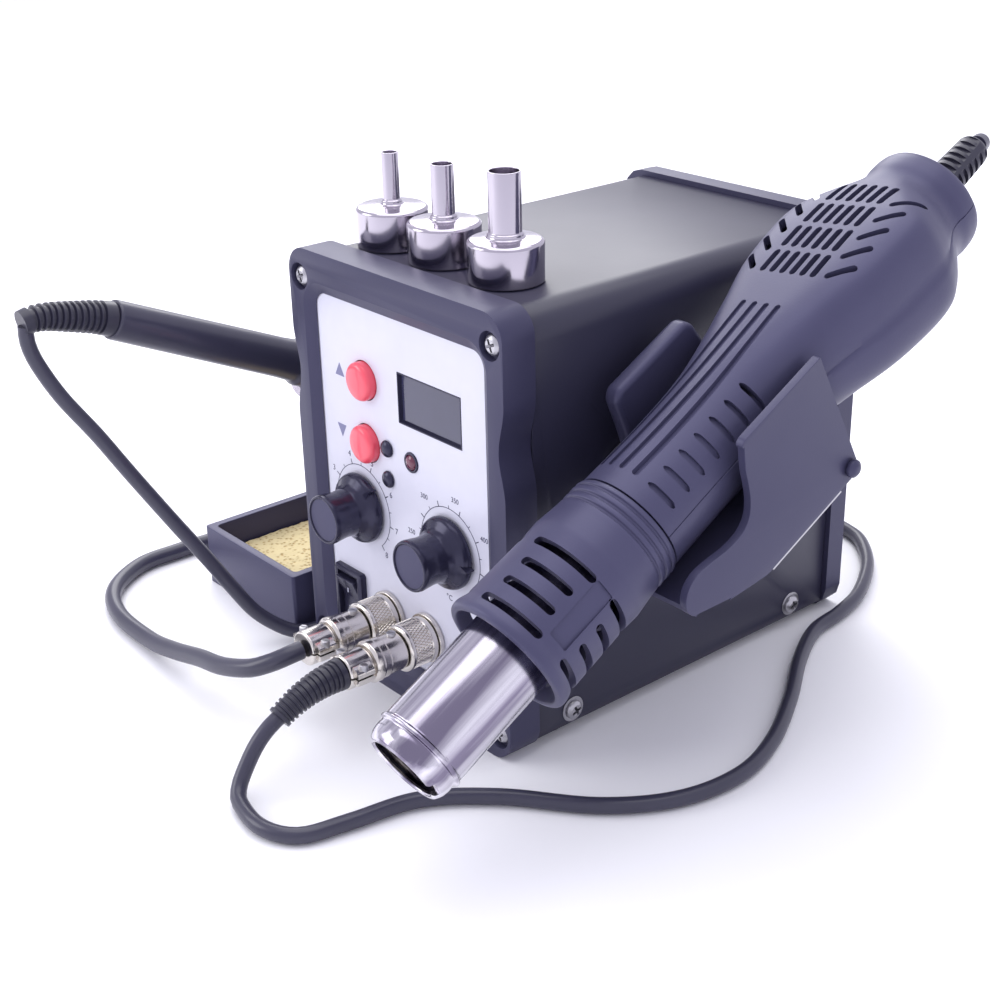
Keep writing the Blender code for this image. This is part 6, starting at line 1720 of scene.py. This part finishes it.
# %% [markdown]
# The nozzles are drawn from stainless sheet and spun, so they are turned here from one profile with a
# wall of 0.7 mm: a skirt, a nearly flat shoulder, a rolled collar and the tube. They stand on turned
# plastic posts.

# %% Nozzles and posts
nozzle_y = front_y + 26 * mm
nozzle_foot = cover_top + 0.3 * mm
nozzle_shapes = {"small": (-31 * mm, 2.6 * mm, 28 * mm), "medium": (-6 * mm, 3.4 * mm, 28.5 * mm),
                 "large": (21.5 * mm, 4.7 * mm, 31 * mm)}
for name, (x, tube, tip) in nozzle_shapes.items():
    shape = bmesh.new()
    turned(shape, rounded_corners(
        [(10.3 * mm, 0), (11 * mm, 0), (11 * mm, 11.2 * mm), (10.2 * mm, 11.9 * mm),
         (tube + 0.9 * mm, 12.4 * mm), (tube + 0.5 * mm, 12.9 * mm), (tube + 0.5 * mm, 13.6 * mm),
         (tube, 13.9 * mm), (tube, tip), (tube - 0.5 * mm, tip), (tube - 0.7 * mm, 11.8 * mm),
         (9.6 * mm, 11.3 * mm), (10.3 * mm, 10.6 * mm)], 0.7 * mm, steps=5), 96, "Z",
        Matrix.Translation((x, nozzle_y, nozzle_foot)))
    finish_piece(f"nozzle_{name}_shell", work_object("nozzle_work", shape), spun_steel,
                 "nozzle_" + name, ["nozzle_" + name])
    shape = bmesh.new()
    turned(shape, rounded_corners(
        [(0, -5 * mm), (2 * mm, -5 * mm), (2 * mm, 0.3 * mm), (9.8 * mm, 0.3 * mm),
         (9.8 * mm, 2.4 * mm), (6 * mm, 2.8 * mm), (6 * mm, 8.2 * mm), (5.2 * mm, 9 * mm),
         (0, 9 * mm)], 0.3 * mm, closed=False), 64, "Z", Matrix.Translation((x, nozzle_y, cover_top)))
    finish_piece(f"post_{name}_body", work_object("post_work", shape), glossy_abs, "station",
                 ["post_" + name])

# %% [markdown]
# The cradle is one ABS moulding, bolted to the box's side: an outer plate with a hollow for the
# finger, a saddle under the handle, and a thick inner ear with a rounded top. It is drawn in the
# handle's frame. The plate's outline runs through a smooth curve and its edges are rounded.

# %% Cradle
cradle_half_gap = 20.6 * mm
cradle_wall = 2.4 * mm
cradle_rear = 149.5 * mm
cradle_top = 13.5 * mm
skirt_low = -29.5 * mm
cradle_floor = -17.9 * mm
hollow = [(114.6, 8.2, 0), (113.4, 4.5, 0), (112.6, 0.5, 0), (111.2, -4.2, 0), (108.6, -8.2, 0),
          (104.6, -10.2, 0), (99, -10.2, 0), (93, -8.8, 0), (87.6, -7.9, 0), (83.6, -8.8, 0),
          (80.8, -11.2, 0), (79.6, -14.6, 0), (80.6, -17.6, 0)]
curve = smooth_path([Vector(p) * mm for p in hollow], 1.2 * mm)
outline = rounded_corners([(cradle_rear, cradle_top - 0.5 * mm), (cradle_rear - 0.5 * mm, cradle_top),
                           (116.5 * mm, cradle_top), (114.9 * mm, cradle_top - 1.8 * mm)], 1.2 * mm)
outline += [(p.x, p.y) for p in curve]
outline += rounded_corners([(92 * mm, -24.2 * mm), (107 * mm, skirt_low),
                            (cradle_rear - 0.6 * mm, skirt_low), (cradle_rear, skirt_low + 0.6 * mm)],
                           1.5 * mm)
shape = bmesh.new()
prism(shape, outline, cradle_half_gap, cradle_half_gap + cradle_wall, "X")
cradle = work_object("cradle_work", shape, cradle_place)
soften(cradle, 0.8 * mm, 4, 40)
saddle = bmesh.new()
top = [(82, 0.3), (91, 1.1), (100, 1.4), (114, 1.5), (128, 1.3), (140, 0.2), (149.5, -1)]
top = [(y * mm, cradle_floor + z * mm) for y, z in top]
prism(saddle, top + [(y, z - 2.6 * mm) for y, z in top[::-1]], -cradle_half_gap - 1 * mm,
      cradle_half_gap + 1 * mm, "X")
combine(cradle, work_object("cradle_saddle", saddle, cradle_place), "UNION")
ear = bmesh.new()
prism(ear, rounded_corners([(149 * mm, 4 * mm), (147.4 * mm, 13.5 * mm), (145 * mm, 16 * mm),
                            (116 * mm, 16 * mm), (113.6 * mm, 13.5 * mm), (112.8 * mm, 4 * mm),
                            (110 * mm, -14 * mm), (98 * mm, skirt_low + 6 * mm),
                            (100 * mm, skirt_low), (149.5 * mm, skirt_low)], 2.5 * mm),
      -cradle_half_gap - 6 * mm, -cradle_half_gap, "X")
ear_work = work_object("cradle_ear", ear, cradle_place)
soften(ear_work, 2.2 * mm, 6, 40)
combine(cradle, ear_work, "UNION")
stud = bmesh.new()
outer_face = cradle_half_gap + cradle_wall
turned(stud, rounded_corners([(0, outer_face - 1 * mm), (2.0 * mm, outer_face - 1 * mm),
                              (2.0 * mm, outer_face + 0.3 * mm), (2.7 * mm, outer_face + 0.6 * mm),
                              (2.6 * mm, outer_face + 1.7 * mm), (1.2 * mm, outer_face + 2.7 * mm),
                              (0, outer_face + 2.8 * mm)], 0.5 * mm, closed=False), 40, "X",
       Matrix.Translation((0, cradle_rear - 3.4 * mm, skirt_low + 3.6 * mm)))
combine(cradle, work_object("cradle_stud", stud, cradle_place), "UNION")
finish_piece("cradle", cradle, cradle_abs, "station", ["handle_cradle"])

# %% [markdown]
# Pan head screws with a cross recess hold the bezel, the rear frame and the cover. They are headed
# from zinc-plated wire and the cross is punched, so it is cut here with two crossed wedges.

# %% Screws


def pan_head_screw(name, radius, height, length, place):
    """A pan head screw with its recess, its head's underside at height 0 of its place."""
    shape = bmesh.new()
    turned(shape, rounded_corners(
        [(0, height), (radius * 0.6, height), (radius * 0.95, height * 0.5), (radius, 0),
         (1.4 * mm, 0), (1.4 * mm, -length), (0, -length)], 0.4 * mm, closed=False), 40, "Z")
    screw = work_object(name, shape)
    wide, narrow, deep = radius * 0.62, 0.42 * mm, height * 1.1
    for k in range(2):
        wedge = bmesh.new()
        loft(wedge, [[(x * wide, y * narrow, height + 0.2 * mm) for x, y in
                      ((1, 1), (-1, 1), (-1, -1), (1, -1))],
                     [(x * wide * 0.45, y * narrow * 0.6, height - deep) for x, y in
                      ((1, 1), (-1, 1), (-1, -1), (1, -1))]],
             place=Matrix.Rotation(k * math.pi / 2 + 0.4, 4, "Z"))
        combine(screw, work_object(f"{name}_wedge_{k}", wedge))
    move_work(screw, place)
    return screw


def screw_pair(name, first, step, radius, height, length, turn):
    """Two screws a step apart, as one work object."""
    screw = pan_head_screw(name + "_item", radius, height, length, turn)
    plain = bpy.data.objects.new(name + "_plain", evaluated_mesh(screw))
    bpy.context.scene.collection.objects.link(plain)
    for used in list(screw["used"]) + [screw.name]:
        bpy.data.objects.remove(bpy.data.objects[used])
    return repeat(name, plain, 2, step, (0, 0, 0), Matrix.Translation(first))


front_seat = front_y + screw_recess_depth - 0.3 * mm
for side, nodes_there in ((-1, ["front_screw_1", "front_screw_2"]),
                          (1, ["front_screw_3", "front_screw_4"])):
    pair = screw_pair(f"front_screws_{side}", (side * frame_screw_x, front_seat, frame_screw_low),
                      (0, 0, frame_screw_high - frame_screw_low), 3.2 * mm, 1.9 * mm, 8.5 * mm,
                      face_front)
    finish_piece(f"front_screws_{side}_heads", pair, zinc_plate, "station", nodes_there)
    pair = screw_pair(f"side_screws_{side}",
                      (side * (cover_half_width + 0.3 * mm), side_screw_front, side_screw_z),
                      (0, side_screw_rear - side_screw_front, 0), 3.1 * mm, 1.7 * mm, 4 * mm,
                      Matrix.Rotation(side * math.pi / 2, 4, "Y"))
    finish_piece(f"side_screws_{side}_heads", pair, zinc_plate, "station", ())
    pair = screw_pair(f"rear_screws_{side}",
                      (side * frame_screw_x, rear_y - 1.3 * mm, frame_screw_low),
                      (0, 0, frame_screw_high - frame_screw_low), 3.2 * mm, 1.3 * mm, 5 * mm,
                      Matrix.Rotation(-math.pi / 2, 4, "X"))
    finish_piece(f"rear_screws_{side}_heads", pair, zinc_plate, "station", ())

# %% [markdown]
# A plain washer lies under each side screw, as the cover's coat would chip without one.

# %% Washers
shape = bmesh.new()
for y in (side_screw_front, side_screw_rear):
    for side in (-1, 1):
        turned(shape, rounded_corners([(1.7 * mm, 0.02 * mm), (4.1 * mm, 0.02 * mm),
                                       (4.1 * mm, 0.3 * mm), (1.7 * mm, 0.3 * mm)], 0.1 * mm), 40,
               "Z", Matrix.Translation((side * cover_half_width, y, side_screw_z))
               @ Matrix.Rotation(side * math.pi / 2, 4, "Y"))
finish_piece("side_washers", work_object("washers_work", shape), zinc_plate, "station", ())

# %% [markdown]
# The boot at the handle's tail is moulded with open rings: short ribs joined by four ribs along it,
# with dark windows between. The windows are cut by one row of blocks, copied round the axis.

# %% Handle boot
boot_start, boot_end = handle_end - 6.0, 250.6
shape = bmesh.new()
turned(shape, rounded_corners(
    [(0, boot_start * mm), (6.0 * mm, boot_start * mm), (6.0 * mm, (handle_end + 0.6) * mm),
     (5.7 * mm, (handle_end + 1) * mm), (4.9 * mm, (boot_end - 1.6) * mm),
     (3.6 * mm, boot_end * mm), (0, boot_end * mm)], 1.2 * mm, closed=False), 64, "Y")
boot = work_object("boot_work", shape)
window_pitch = 2.7 * mm
window = bmesh.new()
block(window, (-3.6 * mm, 0, 4.2 * mm), (3.6 * mm, 1.5 * mm, 7 * mm))
row = repeat("boot_row", work_object("boot_window", window), 8, (0, window_pitch, 0), (0, 0, 0),
             Matrix.Translation((0, (handle_end + 1.6) * mm, 0)))
combine(boot, repeat("boot_windows", row, 4, (0, 0, 0), (0, math.pi / 2, 0),
                     Matrix.Rotation(math.radians(20), 4, "Y")))
move_work(boot, handle_place)
finish_piece("handle_boot_body", boot, boot_vinyl, "handle", ["handle_boot"])

# %% [markdown]
# Inside the tube a sleeve of mica keeps the heater's coils off the steel. It is black here, as painted
# shade inside the tube; its end shows at the tube's mouth, behind the fins of the ceramic core.

# %% Mica sleeve
shape = bmesh.new()
turned(shape, [(11.6 * mm, 9 * mm), (11.6 * mm, 79 * mm), (11.45 * mm, 79 * mm),
               (11.45 * mm, 9 * mm)], 96, "Y")
sleeve = work_object("sleeve_work", shape, handle_place)
# The sleeve takes the black boot finish as painted shade inside the tube's mouth
finish_piece("mica_sleeve", sleeve, boot_vinyl, "handle", ())

# %% [markdown]
# The iron has a smooth, glossy handle that widens to a collar at the hot end, where it sits in the
# mouth of the holder. Barrel, nut and tip are plain turned metal.

# %% Iron
shape = bmesh.new()
turned(shape, rounded_corners(
    [(0, -78.2 * mm), (6.1 * mm, -78.2 * mm), (6.3 * mm, -77.4 * mm), (6.8 * mm, -14 * mm),
     (7.1 * mm, -8 * mm), (8.3 * mm, -6 * mm), (8.3 * mm, 4 * mm), (7.2 * mm, 6 * mm),
     (6.4 * mm, 20 * mm), (0, 20 * mm)], 0.7 * mm, closed=False), 96, "Y", iron_frame)
finish_piece("iron_grip", work_object("iron_grip_work", shape), cord_vinyl, "iron", ["iron_handle"])
shape = bmesh.new()
turned(shape, rounded_corners(
    [(0, 20.3 * mm), (6.3 * mm, 20.3 * mm), (6.3 * mm, 27.3 * mm), (4.6 * mm, 29.3 * mm),
     (3.2 * mm, 29.7 * mm), (3.2 * mm, 70 * mm), (2.6 * mm, 70.6 * mm), (0, 70.6 * mm)],
    0.4 * mm, closed=False), 64, "Y", iron_frame)
finish_piece("iron_barrel_tube", work_object("barrel_work", shape), spun_steel, "iron",
             ["iron_barrel"])
shape = bmesh.new()
turned(shape, rounded_corners(
    [(0, 70.9 * mm), (2.4 * mm, 70.9 * mm), (2.4 * mm, 76.9 * mm), (0.4 * mm, 88 * mm),
     (0, 88 * mm)], 0.3 * mm, closed=False), 48, "Y", iron_frame)
finish_piece("iron_bit", work_object("bit_work", shape), zinc_plate, "iron", ["iron_tip"])

# %% [markdown]
# The stand is a moulding with a tray in front for a sponge. Its walls are thin and its rim is a
# little rounded. Tray and hollow are cut out of one block, as in a mould.

# %% Stand
stand_right = -58.5 * mm
stand_left = -114.5 * mm
stand_front = front_y - 2.5 * mm
stand_back = stand_front + 128 * mm
stand_height = 22 * mm
stand_corner = 1.2 * mm
stand_wall = 3 * mm
tray_back = stand_front + 60 * mm
tray_corner = 1.5 * mm
tray_back_wall = 3.5 * mm
shape = bmesh.new()
prism(shape, rounded_box_outline(stand_left, stand_right, stand_front, stand_back, stand_corner), 0,
      stand_height)
stand = work_object("stand_work", shape)
tray = bmesh.new()
prism(tray, rounded_box_outline(stand_left + stand_wall, stand_right - stand_wall,
                                stand_front + stand_wall, tray_back, tray_corner),
      stand_wall, stand_height + stand_wall)
combine(stand, work_object("tray_cut", tray))
under = bmesh.new()
prism(under, rounded_box_outline(stand_left + stand_wall, stand_right - stand_wall,
                                 tray_back + tray_back_wall, stand_back - stand_wall, tray_corner),
      -stand_wall, stand_height - stand_wall)
combine(stand, work_object("under_cut", under))
soften(stand, 0.4 * mm, 3)
finish_piece("stand_body", stand, stand_abs, "station", ["stand_base"])

# %% [markdown]
# The sponge is a loose block whose top is never quite even. A fine grid is raised by two sizes of
# noise and then extruded down to the tray.

# %% Sponge
sponge_width = 47.8 * mm
sponge_length = 54.8 * mm
sponge_foot = 3.3 * mm
sponge_top = 12.4 * mm
shape = bmesh.new()
bmesh.ops.create_grid(shape, x_segments=60, y_segments=64, size=0.5)
for vert in shape.verts:
    vert.co.x = (stand_left + stand_right) / 2 + vert.co.x * sponge_width
    vert.co.y = (stand_front + 3.5 * mm + tray_back) / 2 + vert.co.y * sponge_length
    swell = noise.noise(vert.co * 260) * 0.35 * mm + noise.noise(vert.co * 900) * 0.15 * mm
    vert.co.z = sponge_top + swell
sides = bmesh.ops.extrude_face_region(shape, geom=list(shape.faces))
for part in sides["geom"]:
    if isinstance(part, bmesh.types.BMVert):
        part.co.z = sponge_foot
finish_piece("sponge_pad", work_object("sponge_work", shape), sponge_cellulose, "station",
             ["sponge"], sharp=50)
